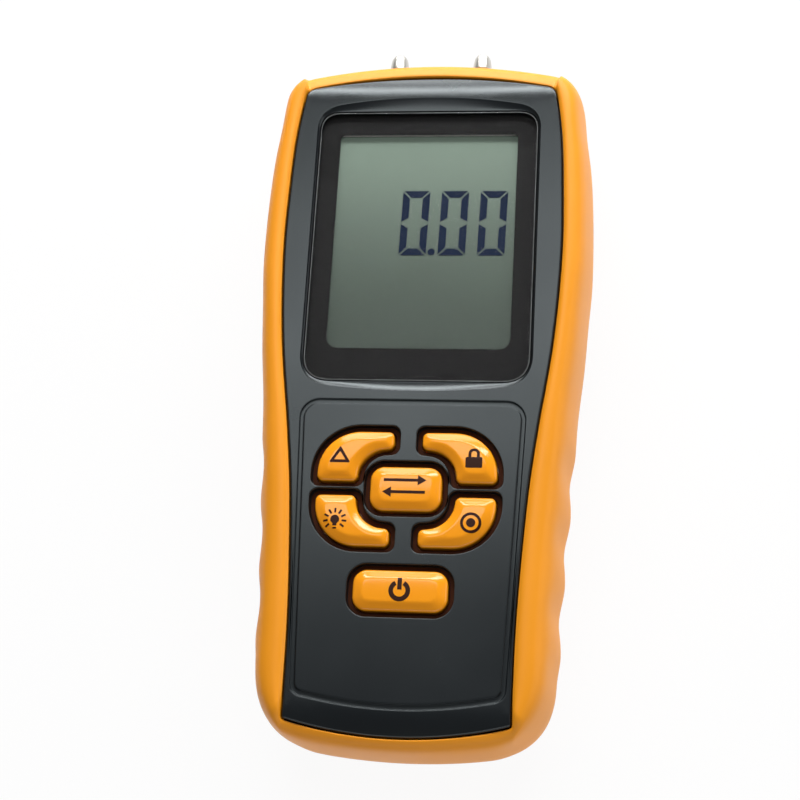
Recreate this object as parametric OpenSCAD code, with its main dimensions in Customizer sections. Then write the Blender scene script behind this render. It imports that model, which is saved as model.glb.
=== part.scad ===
// Handheld digital manometer with two hose ports. Two hard shells carry the display, the keypad,
// the pressure sensor and a 9 V battery, and a soft boot wraps their sides and ends.
// It lies on its back with its face up (+Z) and its ports towards +Y. Units are millimetres.

/* [Body] */
// Widest distance across the side rails of the boot
body_w = 77.4; // [74:0.2:80]
// Thickness from the resting back to the crest of the rails
body_t = 34.5; // [34:0.1:37]
// Length of the dark front panel
panel_l = 155.7; // [152:1:160]
// Width of a side rail beside the widest part of the panel
rail_w = 6.4; // [5.4:0.1:6.6]
// Boot beyond the top end of the panel
lip_top = 5.1; // [4:0.1:6]
// Boot beyond the bottom end of the panel
lip_bottom = 3.2; // [3:0.1:5]
// How far each end of the panel bows outwards
end_crown = 3.3; // [2.5:0.1:4]
// How far each end of the boot bows outwards
boot_crown = 4.2; // [3.5:0.1:5]
// Corner size of the body at the ports
top_corner = 4.1; // [3.6:0.1:7]
// Corner size of the body at the bottom
bottom_corner = 13.8; // [12:0.2:15]
// Upper corners of the front panel
panel_corner = 2.2; // [1.8:0.1:4]
// Lower corners of the front panel
panel_foot_corner = 0.8; // [0.6:0.1:2]
// Wall of the two hard shells
shell_wall = 2; // [1.6:0.1:2.2]
// Wall of the boot at the sides
boot_wall = 2.2; // [1.8:0.1:2.4]
// Crest of the rails above the panel
rail_rise = 0.9; // [0.5:0.1:1.2]
// Crest of the end strips below the panel
end_sink = 0.6; // [0.2:0.1:1]
// Width of the boot's rim on the back
back_rim = 7.5; // [7:0.1:8]
// Depth of the finger grips in the rails
grip_depth = 0.8; // [0.4:0.1:1.2]
// Distance between two finger grips
grip_pitch = 15.4; // [14:0.1:17]

/* [Display] */
// Panel on each side of the clear window
window_side = 6.7; // [6.6:0.1:7.6]
// Panel above the clear window
window_end = 9.7; // [9.4:0.1:10.3]
// Bottom edge of the window above the middle of the panel
window_y = 1.5; // [1:0.1:2]
// Thickness of the clear window
window_t = 1.5; // [1.2:0.1:1.6]
// Window surface below the panel surface
window_sink = 0.6; // [0.4:0.1:0.8]
// Dark border of the window on each side of the visible display
view_side = 4.65; // [4.2:0.05:5.2]
// Dark border of the window below the visible display
view_low = 8.1; // [7.7:0.1:8.5]
// Dark border of the window above the visible display
view_high = 5.3; // [5.3:0.1:6.8]
// Thickness of the display glass
lcd_t = 2.8; // [2.4:0.1:3]
// Height of the digits
digit_h = 16.2; // [12:0.1:17]
// Distance from one digit to the next
digit_pitch = 9.1; // [8.4:0.1:10]

/* [Keys] */
// Width of the middle key
middle_key_w = 15.7; // [15:0.1:16.2]
// Length of the middle key
middle_key_l = 9.9; // [9:0.1:10.2]
// Middle of the key cluster below the middle of the panel
cluster_drop = 23.7; // [23:0.1:24.5]
// Width of the power key
power_key_w = 20.6; // [18:0.1:21.5]
// Length of the power key
power_key_l = 8.9; // [8:0.1:9.5]
// Middle of the power key below the middle of the panel
power_drop = 46.4; // [46:0.1:47.5]
// Outer width over the four corner keys
cluster_w = 39.8; // [39:0.1:40]
// Outer length over the four corner keys
cluster_l = 26; // [26:0.1:26.8]
// Height of the key tops above the panel
key_rise = 0.8; // [0.75:0.05:0.9]
// Travel of a key
key_travel = 0.7; // [0.5:0.05:0.75]
// Width of the dished recess around a key
key_dish = 1.4; // [1:0.1:1.5]
// Depth of the dished recess around a key
key_dish_depth = 1.2; // [0.8:0.1:1.3]

/* [Ports] */
// Distance between the two hose ports
port_pitch = 20.6; // [20:0.1:21]
// Depth of the ports below the panel
port_depth = 17; // [16.6:0.1:17.4]
// Diameter of the two lands that hold the hose
port_land_d = 4.6; // [4.2:0.1:5]
// Bore of a port
port_bore_d = 2; // [1.6:0.1:2.2]
// Reach of a port beyond the boot
port_reach = 8.9; // [8.5:0.1:10]
// Thread of a port
port_thread_d = 5; // [4.8:0.1:5.4]

/* [Battery] */
// Width of the 9 V block battery
battery_w = 26.5; // [26:0.1:26.6]
// Thickness of the battery
battery_t = 17.5; // [17:0.1:17.6]
// Length of the battery without its terminals
battery_l = 48.5; // [47:0.1:48.6]
// Opening angle of the battery door
door_angle = 60; // [30:5:60]

/* [Fasteners] */
// Shank of the case screws
case_screw_d = 2.5; // [2:0.1:2.6]
// Head of the case screws
case_head_d = 5; // [4.4:0.1:5.2]
// Shank of the board screws
board_screw_d = 2; // [1.8:0.1:2.1]
// Thickness of the main board
board_t = 1.6; // [1.2:0.1:1.7]

/* [Hidden] */
$fn = 48;

// Clearances and small common sizes
gap = 0.15;          // between pieces that are fixed to each other
run_gap = 0.3;       // round pieces that move
overrun = 1;         // how far a cutter passes a face
screw_gap = 0.1;     // round a screw's shank
least_round = 1.2;   // smallest corner that an inset outline keeps
film = 0.1;          // printed and plated layers
edge_round = 0.9;    // rounded edge of the panel and of the keys

// Number of points along the parts of an outline
end_steps = 5;
corner_steps = 5;
side_steps = 34;

// Places along Y and Z that everything follows
panel_half = panel_l / 2;
body_top = panel_half + lip_top;
body_bottom = -(panel_half + lip_bottom);
panel_z = body_t - rail_rise;
port_z = panel_z - port_depth;
panel_w = body_w - 2 * rail_w;
window_w = panel_w - 2 * window_side;
window_l = panel_half - window_end - window_y;
view_w = window_w - 2 * view_side;
view_y = window_y + view_low;
view_l = window_l - view_low - view_high;

// Half-width of the body, as a share of the widest, against Y as a share of half the panel
body_shares = [
    [1.08, 0.870], [0.955, 0.927], [0.858, 0.948], [0.756, 0.976], [0.657, 0.991], [0.524, 1],
    [0.394, 1], [0.271, 0.983], [0.129, 0.965], [-0.026, 0.935], [-0.148, 0.924], [-0.335, 0.905],
    [-0.542, 0.882], [-0.748, 0.870], [-0.903, 0.877], [-1.06, 0.859]
];
// Half-width of the panel, in the same way
panel_shares = [
    [1, 0.900], [0.86, 0.953], [0.76, 0.978], [0.6, 0.994], [0.45, 1], [0.27, 0.982],
    [0.12, 0.951], [0, 0.913], [-0.1, 0.878], [-0.28, 0.826], [-0.46, 0.793], [-0.62, 0.772],
    [-0.75, 0.763], [-1, 0.760]
];
// Front of a rail: share of the way from panel to side, and share of rail_fall below the crest
front_shares = [
    [0, 0.057], [0.08, 0.018], [0.2, 0], [0.38, 0.011], [0.5, 0.036], [0.62, 0.086], [0.75, 0.207],
    [0.86, 0.421], [0.95, 0.707], [1, 1]
];
rail_fall = 14;
// Back of the boot: inset as a share of back_rim, and height as a share of the thickness
back_shares = [
    [0.02, 0.435], [0.08, 0.304], [0.187, 0.188], [0.347, 0.093], [0.533, 0.032], [0.707, 0.007],
    [0.853, 0], [1, 0]
];
wall_shares = [[0, 0.565], [0.02, 0.435], [0.08, 0.304], [0.187, 0.188], [0.347, 0.093]];

// Value of a table of shares at s, by a smooth curve through its points
function slope_at(t, i) =
    let (a = max(i - 1, 0), b = min(i + 1, len(t) - 1)) (t[b][1] - t[a][1]) / (t[b][0] - t[a][0]);
function span_at(t, s, i = 0) = i >= len(t) - 2 || s >= t[i + 1][0] ? i : span_at(t, s, i + 1);
function curve(t, s) =
    let (i = span_at(t, s), h = t[i + 1][0] - t[i][0], f = min(max((s - t[i][0]) / h, 0), 1),
         g = 1 - f)
    t[i][1] * g * g * (1 + 2 * f) + t[i + 1][1] * f * f * (1 + 2 * g)
        + h * f * g * (slope_at(t, i) * g - slope_at(t, i + 1) * f);

// Outline of the body or the panel: right half from the top, then its mirror image
function bend(a, c, b, f) = a * (1 - f) * (1 - f) + c * 2 * f * (1 - f) + b * f * f;
function half_outline(t, w, top, bottom, r_top, r_bottom, crown, inset) =
    let (x_at = function (y) w / 2 * curve(t, y / panel_half) - inset,
         rt = max(r_top - inset, min(r_top, least_round)), rb = max(r_bottom - inset, min(r_bottom, least_round)),
         y1 = top - inset - crown, y2 = bottom + inset + crown,
         x1 = x_at(y1), x2 = x_at(y2),
         bow = function (x, xe, ye) ye + crown * (1 - pow(x / xe, 2)),
         dip = function (x, xe, ye) ye - crown * (1 - pow(x / xe, 2)))
    concat(
        [for (i = [0 : end_steps - 1]) let (x = (x1 - rt) * (i + 0.5) / end_steps) [x, bow(x, x1, y1)]],
        [for (i = [0 : corner_steps])
            bend([x1 - rt, bow(x1 - rt, x1, y1)], [x1, y1], [x_at(y1 - rt), y1 - rt], i / corner_steps)],
        [for (i = [1 : side_steps - 1])
            let (y = y1 - rt + (y2 + rb - y1 + rt) * i / side_steps) [x_at(y), y]],
        [for (i = [0 : corner_steps])
            bend([x_at(y2 + rb), y2 + rb], [x2, y2], [x2 - rb, dip(x2 - rb, x2, y2)], i / corner_steps)],
        [for (i = [0 : end_steps - 1])
            let (x = (x2 - rb) * (end_steps - i - 0.5) / end_steps) [x, dip(x, x2, y2)]]
    );
function whole(half) = concat(half, [for (i = [len(half) - 1 : -1 : 0]) [-half[i].x, half[i].y]]);
function body_outline(inset) = whole(
    half_outline(body_shares, body_w, body_top, body_bottom, top_corner, bottom_corner, boot_crown, inset));
function panel_outline(inset) = whole(
    half_outline(panel_shares, panel_w, panel_half, -panel_half, panel_corner, panel_foot_corner, end_crown, inset));
function between(a, b, f) = [for (i = [0 : len(a) - 1]) a[i] * (1 - f) + b[i] * f];
function inward(ring, d) = [for (i = [0 : len(ring) - 1])
    let (n = len(ring), along = ring[(i + 1) % n] - ring[(i + n - 1) % n], m = norm(along))
    ring[i] + [along.y, -along.x] * d / m];

// Closed solid through rings of points, which are paired from both ends for the two caps
function raised(ring, z) = [for (p = ring) [p.x, p.y, z]];
module lofted(rings) {
    n = len(rings[0]);
    m = len(rings);
    sides = [for (j = [0 : m - 2], i = [0 : n - 1]) let (k = (i + 1) % n)
        each [[j * n + i, (j + 1) * n + k, (j + 1) * n + i], [j * n + i, j * n + k, (j + 1) * n + k]]];
    low = [for (i = [0 : n / 2 - 2])
        each [[i, n - 2 - i, i + 1], [i, n - 1 - i, n - 2 - i]]];
    top = (m - 1) * n;
    high = [for (f = low) [top + f[0], top + f[2], top + f[1]]];
    polyhedron([for (r = rings) each r], concat(sides, low, high));
}
// Closed loop of rings, for a hollow wrap
module looped(rings) {
    n = len(rings[0]);
    m = len(rings);
    polyhedron([for (r = rings) each r],
        [for (j = [0 : m - 1], i = [0 : n - 1]) let (k = (i + 1) % n, q = (j + 1) % m)
            each [[j * n + i, q * n + i, q * n + k], [j * n + i, q * n + k, j * n + k]]]);
}

// Polygon with rounded corners, each corner given as [x, y, radius], clockwise
fillet_steps = 5;
function unit(v) = v / norm(v);
function fillets(corners, steps = fillet_steps) = let (n = len(corners)) [for (i = [0 : n - 1])
    let (p = [corners[i].x, corners[i].y], q = corners[(i + n - 1) % n], r = corners[(i + 1) % n],
         u = unit([q.x, q.y] - p), v = unit([r.x, r.y] - p), rad = corners[i].z,
         half = acos(min(max(u * v, -1), 1)) / 2, reach = rad / tan(half),
         c = p + unit(u + v) * rad / sin(half),
         a = p + u * reach - c, b = p + v * reach - c, turn = 180 - 2 * half)
    for (s = [0 : steps]) let (f = s / steps)
        c + (a * sin(turn * (1 - f)) + b * sin(turn * f)) / sin(turn)];
function box_outline(w, l, r, x = 0, y = 0) = fillets([
    [x - w / 2, y + l / 2, r], [x + w / 2, y + l / 2, r], [x + w / 2, y - l / 2, r],
    [x - w / 2, y - l / 2, r]]);
module slab(outline, z1, z2) translate([0, 0, z1]) linear_extrude(z2 - z1) polygon(outline);

// Wall line inside the boot, from the back up to the shoulder under the front rails
shoulder_depth = 4;
taper_depth = 12;
shoulder_share = 0.55;
boot_back = 2;
part_depth = 10.1;
part_z = panel_z - part_depth;
lower_z = panel_z - taper_depth;
shoulder_z = panel_z - shoulder_depth;
function shell_outline(z) = let (f = min(max((z - lower_z) / (shoulder_z - lower_z), 0), 1))
    between(body_outline(boot_wall), between(panel_outline(0), body_outline(0), shoulder_share), f);

// Finger grips: waves along the lower half of the rails
grip_top = -10.1;
grip_count = 4;
function wave(y) = let (s = min(max((grip_top - y) / grip_pitch, 0), grip_count - 0.5))
    grip_depth * (1 - cos(360 * s)) / 2;
// Share of the grip depth at each front row
grip_shares = [0, 0, 0, 0, 0, 0.1, 0.35, 0.7, 1, 1];
function gripped(ring, share) = [for (p = ring)
    let (f = min(max(8 * abs(p.x) / panel_w - 2, 0), 1))
    [p.x - sign(p.x) * wave(p.y) * share * f, p.y]];

// Height of the rim: the rails stand above the end strips
ring_half = 2 * end_steps + 2 * (corner_steps + 1) + side_steps - 1;
function rail_share(i) = let (k = i < ring_half ? i : 2 * ring_half - 1 - i,
    a = (k - end_steps) / corner_steps, b = (ring_half - 1 - k - end_steps) / corner_steps)
    min(max(min(a, b), 0), 1);
function crest(i) = rail_share(i) * rail_rise - (1 - rail_share(i)) * end_sink;

module rubber_boot() color("orange") difference() {
    inner = panel_outline(0);
    outer = body_outline(0);
    front = [for (j = [0 : len(front_shares) - 1])
        let (ring = gripped(between(inner, outer, front_shares[j][0]), grip_shares[j]))
        [for (i = [0 : len(ring) - 1])
            [ring[i].x, ring[i].y, panel_z + crest(i) - front_shares[j][1] * rail_fall]]];
    back = [for (s = back_shares)
        raised(gripped(body_outline(s[0] * back_rim), 1 - s[0]), s[1] * body_t)];
    wall = [for (i = [len(wall_shares) - 1 : -1 : 0])
        raised(body_outline(wall_shares[i][0] * back_rim + boot_wall), wall_shares[i][1] * body_t)];
    looped(concat(front, back,
        [raised(body_outline(back_rim), boot_back)],
        [raised(body_outline(wall_shares[4][0] * back_rim + 2 * boot_wall), boot_back)],
        wall,
        [raised(shell_outline(lower_z), lower_z), raised(shell_outline(shoulder_z), shoulder_z),
         raised(inner, shoulder_z)]));
    port_pad_shape(run_gap, body_top + overrun);
}

// Flat pad on the end of the rear cover that carries the ports, seen through the boot
pad_w = 33;
pad_h = 10.2;
pad_sink = 1.3;
pad_root = 5.7;
pad_y = body_top - pad_sink;
module port_pad_shape(grow, y2) translate([0, y2, port_z]) rotate([90, 0, 0])
    linear_extrude(y2 - body_top + pad_root)
        polygon(box_outline(pad_w + 2 * grow, pad_h + 2 * grow, pad_h / 2 - gap));

// Front cover
plate_t = 2.4;
end_drop = 1.6;
end_slope_l = 7;
seat_t = 1.4;
seat_rim = 2;
seat_z = panel_z - window_sink - window_t - 2 * film;
window_mid = window_y + window_l / 2;
view_mid = view_y + view_l / 2;
scoop_rise = window_w * 0.0714;
scoop_fall = window_w * 0.0476;
scoop_bow = window_w * 2.8;
scoop_side = 0.7;
groove_w = 1.2;
groove_depth = 0.4;
groove_r = 4.5;
groove_foot_r = 3;
groove_top_y = -3.2;
groove_foot_end = 8.5;
groove_foot_y = groove_foot_end - panel_half;
groove_top_share = 0.79;
groove_foot_share = 0.71;
groove_foot_crown = panel_w * 0.065;
groove_foot_bow = panel_w * 1.45;
function drop(y) = end_drop * max(0, (abs(y) - panel_half + end_slope_l) / end_slope_l);
function sloped(ring, z) = [for (p = ring) [p.x, p.y, z - drop(p.y)]];
function groove_outline(inset) = fillets([
    [-groove_top_share * panel_w / 2 + inset, groove_top_y - inset, groove_r - inset],
    [groove_top_share * panel_w / 2 - inset, groove_top_y - inset, groove_r - inset],
    [groove_foot_share * panel_w / 2 - inset, groove_foot_y + inset, groove_foot_r - inset],
    [0, groove_foot_y - groove_foot_crown + inset, groove_foot_bow],
    [-groove_foot_share * panel_w / 2 + inset, groove_foot_y + inset, groove_foot_r - inset]]);
function scoop_outline() = let (w = window_w + 2 * scoop_side, r = 4, h = window_l + 2 * scoop_side)
    fillets([
        [-w / 2, window_mid + h / 2, r], [0, window_mid + h / 2 + scoop_rise, scoop_bow],
        [w / 2, window_mid + h / 2, r], [w / 2, window_mid - h / 2, r],
        [0, window_mid - h / 2 - scoop_fall, scoop_bow], [-w / 2, window_mid - h / 2, r]], 8);
window_r = 4;
seat_lip = 3.5;

// Where the shells meet at a screw, and the top of the board
case_joint_drop = 3.5;
case_joint_z = part_z - case_joint_drop;
board_depth = 9.4;
board_z = panel_z - board_depth;

module at(places) for (p = places) translate([p.x, p.y, 0]) children();

module front_cover() color("dimgray") difference() {
    union() {
        difference() {
            lofted([
                raised(inward(shell_outline(part_z), gap), part_z),
                raised(inward(shell_outline(shoulder_z), gap), shoulder_z - gap),
                raised(panel_outline(gap), shoulder_z - gap),
                sloped(panel_outline(gap), panel_z - edge_round),
                sloped(panel_outline(gap + edge_round / 4), panel_z - edge_round / 4),
                sloped(panel_outline(gap + edge_round), panel_z)]);
            cover_z = shoulder_z - gap - shell_wall;
            lofted([
                raised(inward(shell_outline(part_z), gap + shell_wall), part_z - overrun),
                raised(inward(shell_outline(part_z), gap + shell_wall), part_z),
                raised(inward(shell_outline(cover_z), gap + shell_wall), cover_z)]);
            slab(panel_outline(gap + plate_t), part_z, panel_z - plate_t);
        }
        slab(box_outline(window_w + 2 * seat_rim, window_l + 2 * seat_rim, window_r, 0, window_mid),
            seat_z - seat_t, panel_z - plate_t + film);
        at(case_places) translate([0, 0, case_joint_z])
            cylinder(d = case_boss_d, h = panel_z - plate_t + film - case_joint_z);
        at(board_places) translate([0, 0, board_z])
            cylinder(d = board_boss_d, h = panel_z - plate_t + film - board_z);
    }
    slab(box_outline(window_w + 2 * gap, window_l + 2 * gap, window_r, 0, window_mid),
        seat_z, panel_z + overrun);
    slab(box_outline(view_w + seat_lip / 2, view_l + seat_lip / 2, least_round, 0, view_mid),
        seat_z - seat_t - overrun, seat_z + overrun);
    slab(scoop_outline(), panel_z - window_sink, panel_z + overrun);
    difference() {
        slab(groove_outline(0), panel_z - groove_depth, panel_z + overrun);
        slab(groove_outline(groove_w), panel_z - groove_depth - overrun, panel_z + 2 * overrun);
    }
    for (k = key_names) {
        slab(key_outline(k, run_gap), panel_z - 3 * plate_t, panel_z + overrun);
        slab(key_outline(k, key_dish), panel_z - key_dish_depth, panel_z + overrun);
    }
    at(case_places) translate([0, 0, case_joint_z - overrun])
        cylinder(d = case_screw_d + 2 * screw_gap, h = seat_z - seat_t - case_joint_z + overrun / 2);
    at(board_places) translate([0, 0, board_z - overrun])
        cylinder(d = board_screw_d + 2 * screw_gap, h = board_screw_l + overrun);
}

// Rear cover, with the battery bay, the screw posts and the port pad
floor_t = 2.2;
bay_wall = 1.2;
bay_gap = 1;
bay_w = battery_w + 2 * bay_gap;
bay_half = bay_w / 2 + bay_wall;
battery_z = 3;
battery_end = 9.85;
battery_y1 = battery_end - panel_half;
battery_y2 = battery_y1 + battery_l;
snap_l = 5;
bay_end = 3.2;
bay_y1 = battery_y1 - bay_end;
bay_y2 = battery_y2 + snap_l + 1.5;
bay_top_z = battery_z + battery_t + run_gap;
bay_rib = 1.2;
lip_h = 1.2;
lip_w = 0.9;
counterbore_z = 12;
lead_slot_x = 8;
lead_slot_w = 7;
lead_slot_z = 9;
label_w = 44;
label_l = 46;
label_y = 38;
label_depth = 0.3;

module rear_cover() color("dimgray") difference() {
    union() {
        difference() {
            top = inward(shell_outline(part_z), gap);
            lofted(concat(
                [raised(body_outline(back_rim + gap), 0), raised(body_outline(back_rim + gap), boot_back + gap),
                 raised(body_outline(wall_shares[4][0] * back_rim + 2 * boot_wall + gap), boot_back + gap)],
                [for (i = [len(wall_shares) - 1 : -1 : 0])
                    raised(body_outline(wall_shares[i][0] * back_rim + boot_wall + gap), wall_shares[i][1] * body_t)],
                [raised(inward(shell_outline(lower_z), gap), lower_z), raised(top, part_z)]));
            lofted(concat(
                [raised(body_outline(back_rim + shell_wall), floor_t)],
                [for (i = [3 : -1 : 0]) raised(body_outline(
                    wall_shares[i][0] * back_rim + boot_wall + gap + shell_wall), wall_shares[i][1] * body_t)],
                [raised(inward(shell_outline(lower_z), gap + shell_wall), lower_z),
                 raised(inward(top, shell_wall), part_z), raised(inward(top, shell_wall), part_z + overrun)]));
        }
        // Lip that centres the front cover
        difference() {
            lip = inward(shell_outline(part_z + lip_h), gap + shell_wall);
            lofted([raised(inward(lip, -film), part_z - lip_h), raised(inward(lip, gap), part_z),
                raised(inward(lip, gap), part_z + lip_h)]);
            lofted([raised(inward(lip, gap + lip_w), part_z - 2 * lip_h),
                raised(inward(lip, gap + lip_w), part_z + 2 * lip_h)]);
        }
        port_pad_shape(0, pad_y);
        at(case_places) cylinder(d = case_boss_d, h = case_joint_z - film);
        bay_box();
        translate([0, door_screw_y, door_boss_z]) cylinder(d = door_boss_d, h = door_boss_l);
        door_boss_roof();
    }
    at(case_places) {
        translate([0, 0, -overrun]) cylinder(d = case_head_d + 2 * run_gap, h = counterbore_z + overrun);
        cylinder(d = case_screw_d + 2 * run_gap, h = part_z);
    }
    for (s = [-1, 1]) translate([s * port_pitch / 2, body_top + overrun, port_z]) rotate([90, 0, 0])
        cylinder(d = port_thread_d + 2 * screw_gap, h = pad_root + 3 * overrun);
    slab(box_outline(label_w, label_l, least_round, 0, label_y), -overrun, label_depth);
    slab(door_outline(run_gap), -overrun, floor_t + film);
    translate([-bay_w / 2, bay_y1, 0]) cube([bay_w, bay_y2 - bay_y1, battery_z]);
    for (s = [-1, 1]) translate([s * tongue_x - tongue_w / 2 - run_gap, bay_y1 - tongue_room, floor_t - film])
        cube([tongue_w + 2 * run_gap, tongue_room + overrun, tongue_room]);
    translate([0, door_screw_y, 0]) cylinder(d = insert_d + 2 * film, h = insert_z + insert_l);
}

// Roof that hangs the door screw's boss on the end wall of the bay
module door_boss_roof() translate([-door_boss_d / 2, bay_y2, insert_z + insert_l])
    cube([door_boss_d, door_screw_y - bay_y2, bay_wall]);

// Box round the battery, open to the back
module bay_box() {
    difference() {
        translate([-bay_w / 2 - bay_wall, bay_y1 - bay_wall, floor_t - film])
            cube([bay_w + 2 * bay_wall, bay_y2 - bay_y1 + 2 * bay_wall, bay_top_z + bay_wall - floor_t]);
        translate([-bay_w / 2, bay_y1, 0]) cube([bay_w, bay_y2 - bay_y1, bay_top_z]);
        for (s = [-1, 1]) translate([s * lead_slot_x - lead_slot_w / 2, bay_y2 - overrun, lead_slot_z])
            cube([lead_slot_w, bay_wall + 2 * overrun, lead_slot_w]);
    }
    for (s = [-1, 1]) translate([s * battery_w / 4 - bay_rib / 2, bay_y1 - film, 2 * battery_z])
        cube([bay_rib, battery_y1 - bay_y1 - gap + film, bay_top_z - 2 * battery_z]);
}

// Display stack
mask_z = seat_z + film / 2;
module display_window() color("lightgray", 0.4)
    slab(box_outline(window_w, window_l, window_r - gap, 0, window_mid),
        panel_z - window_sink - window_t, panel_z - window_sink);
module window_mask() color("black") difference() {
    slab(box_outline(window_w, window_l, window_r - gap, 0, window_mid), seat_z + film / 2,
        seat_z + 2 * film);
    slab(box_outline(view_w, view_l, least_round, 0, view_mid), seat_z - overrun, panel_z);
}
lcd_margin = 1.2;
frame_rim = 0.9;
lcd_z = seat_z - seat_t - 2 * gap - lcd_t;
lcd_foot = 3.2;
frame_gap = 0.1;
strip_w = 2.2;
lcd_low_y = view_y - lcd_foot;
lcd_high_y = view_y + view_l + lcd_margin / 2;
lcd_w = view_w + 2 * lcd_margin;
module lcd_glass() color("darkseagreen") {
    slab(box_outline(lcd_w, lcd_high_y - lcd_low_y, frame_gap, 0, (lcd_high_y + lcd_low_y) / 2),
        lcd_z, lcd_z + lcd_t);
}
module lcd_frame() color("whitesmoke") difference() {
    slab(box_outline(lcd_w + 2 * frame_rim, lcd_high_y - lcd_low_y + 2 * frame_rim, frame_rim, 0,
        (lcd_high_y + lcd_low_y) / 2), board_z, lcd_z + lcd_t);
    slab(box_outline(lcd_w + 2 * frame_gap, lcd_high_y - lcd_low_y + 2 * frame_gap, frame_gap, 0,
        (lcd_high_y + lcd_low_y) / 2), board_z - overrun, lcd_z + lcd_t + overrun);
}
module backlight_panel() color("white")
    slab(box_outline(lcd_w - gap, lcd_high_y - lcd_low_y - strip_w - gap, frame_gap, 0,
        (lcd_high_y + lcd_low_y + strip_w) / 2), board_z + gap / 2, lcd_z - gap / 2);
module contact_strips() color("lightpink")
    slab(box_outline(lcd_w - 2 * lcd_margin, strip_w - 2 * gap, frame_gap, 0, lcd_low_y + strip_w / 2),
        board_z, lcd_z);

// Seven-segment digits: three zeros and a point, as plain numbers. The bars of a digit meet in mitres
segment_share = 0.104;
digit_w_share = 0.393;
digit_slant = 1.2;
digit_gap = 0.3;
digit_x_share = 0.14;
digit_y_share = 0.442;
point_x_share = 0.45;
cut_share = 0.6;   // slope of the bars' middle ends
digit_y = view_y + view_l * digit_y_share;
digit_x = -view_w * digit_x_share;
module zero() let (t = digit_h * segment_share, w = digit_h * digit_w_share, h = digit_h / 2, g = digit_gap)
    for (i = [0, 1], j = [0, 1]) translate([w / 2, h]) mirror([i, 0]) mirror([0, j]) {
        polygon([[-overrun, h], [w / 2 - g, h], [w / 2 - t - g, h - t], [-overrun, h - t]]);
        polygon([[w / 2, h - g], [w / 2 - t, h - t - g], [w / 2 - t, g + t * cut_share], [w / 2, g]]);
    }
module lcd_digits() color("midnightblue") translate([digit_x, digit_y, lcd_z + lcd_t])
    linear_extrude(film) multmatrix([[1, tan(digit_slant), 0, 0], [0, 1, 0, 0]]) {
        for (i = [0 : 2]) translate([i * digit_pitch, 0]) zero();
        translate([digit_h * point_x_share + digit_gap, digit_h * segment_share / 2])
            circle(d = digit_h * segment_share);
    }

// Screw places, as [x, y]: the upper ones follow the panel, the lower ones stand clear of the bay
case_boss_d = 6.5;
board_boss_d = 4.8;
board_head_d = 4;
board_head_t = 1.4;
case_screw_side = 9.1;
case_screw_end = 10.2;
case_foot_end = 11.5;
case_foot_room = 1.8;
board_screw_side = 5.6;
board_screw_end = 21.5;
board_foot_end = 20.5;
board_screw_mid_y = -2;
board_foot_room = 2.05;
case_top_x = panel_w / 2 - case_screw_side;
case_foot_x = bay_half + (case_boss_d / 2 + case_foot_room);
board_top_x = panel_w / 2 - board_screw_side;
board_foot_x = bay_half + (board_head_d / 2 + board_foot_room);
case_places = [for (s = [-1, 1]) each [[s * case_top_x, panel_half - case_screw_end],
    [s * case_foot_x, case_foot_end - panel_half]]];
board_places = [for (s = [-1, 1]) each [
    [s * board_top_x, panel_half - board_screw_end], [s * board_top_x, board_screw_mid_y],
    [s * board_foot_x, board_foot_end - panel_half]]];

// Board, with what is soldered to it
board_side = 3.1;
board_foot_side = 3.5;
board_wide = panel_w - 2 * board_side;
board_narrow = 2 * (board_foot_x + board_foot_side);
board_low_end = 16;
board_top_end = 14.1;
board_y1 = board_low_end - panel_half;
board_step_y = -8;
board_y2 = panel_half - board_top_end;
board_r = 2;
module main_board() color("darkgreen") difference() {
    slab(fillets([
        [-board_wide / 2, board_y2, board_r], [board_wide / 2, board_y2, board_r],
        [board_wide / 2, board_step_y, board_r], [board_narrow / 2, board_step_y - board_wide / 4, board_r],
        [board_narrow / 2, board_y1, board_r], [-board_narrow / 2, board_y1, board_r],
        [-board_narrow / 2, board_step_y - board_wide / 4, board_r], [-board_wide / 2, board_step_y, board_r]]),
        board_z - board_t, board_z - film / 2);
    at(board_places) translate([0, 0, board_z - board_t - overrun])
        cylinder(d = board_screw_d + 2 * screw_gap, h = board_t + 2 * overrun);
}
// Chips on the back of the board, as [x, y, width, length, height]
chip_places = [[-13, 22, 12, 12, 1.6], [12, 26, 7, 9, 1.5], [13, 8, 5, 6, 1.4], [-15, 2, 5, 6, 1.4],
    [0, 33, 6, 5, 1.4]];
module board_chips() color("black") for (c = chip_places)
    translate([c[0], c[1], board_z - board_t - c[4]]) linear_extrude(c[4])
        polygon(box_outline(c[2], c[3], film));
capacitor_places = [[-21, 10], [-21, 30], [21, 14], [21, 34]];
capacitor_d = 5;
capacitor_l = 7;
module board_capacitors() color("silver") at(capacitor_places)
    translate([0, 0, board_z - board_t - capacitor_l]) cylinder(d = capacitor_d, h = capacitor_l);
board_screw_l = 4.5;
module screw(d, l, head_d, head_t) {
    cylinder(d = d, h = l);
    difference() {
        translate([0, 0, -head_t]) cylinder(d = head_d, h = head_t);
        for (a = [0, 90]) rotate(a) translate([-head_d / 3, -head_t / 4, -head_t - overrun])
            cube([head_d / 3 * 2, head_t / 2, overrun + head_t / 2]);
    }
}
module board_screws() color("silver") at(board_places) translate([0, 0, board_z - board_t])
    screw(board_screw_d, board_screw_l + board_t - overrun, board_head_d, board_head_t);

// Keys. The outline of each is set by its name, and grow widens it all round
key_names = ["difference", "hold", "units", "backlight", "record", "power"];
key_r = 3;
key_end_r = 1.3;
cluster_slit = 6.4;
cluster_split = 3.2;
cluster_x = -0.5;   // the keypad stands a little to the left
sweep_r = 9.5;
inner_r = 7.2;
key_pinch = 2.55;
key_pinch_y = 3.5;
key_splay = 0.7;   // the inner sweep's legs open outwards by this
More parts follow.
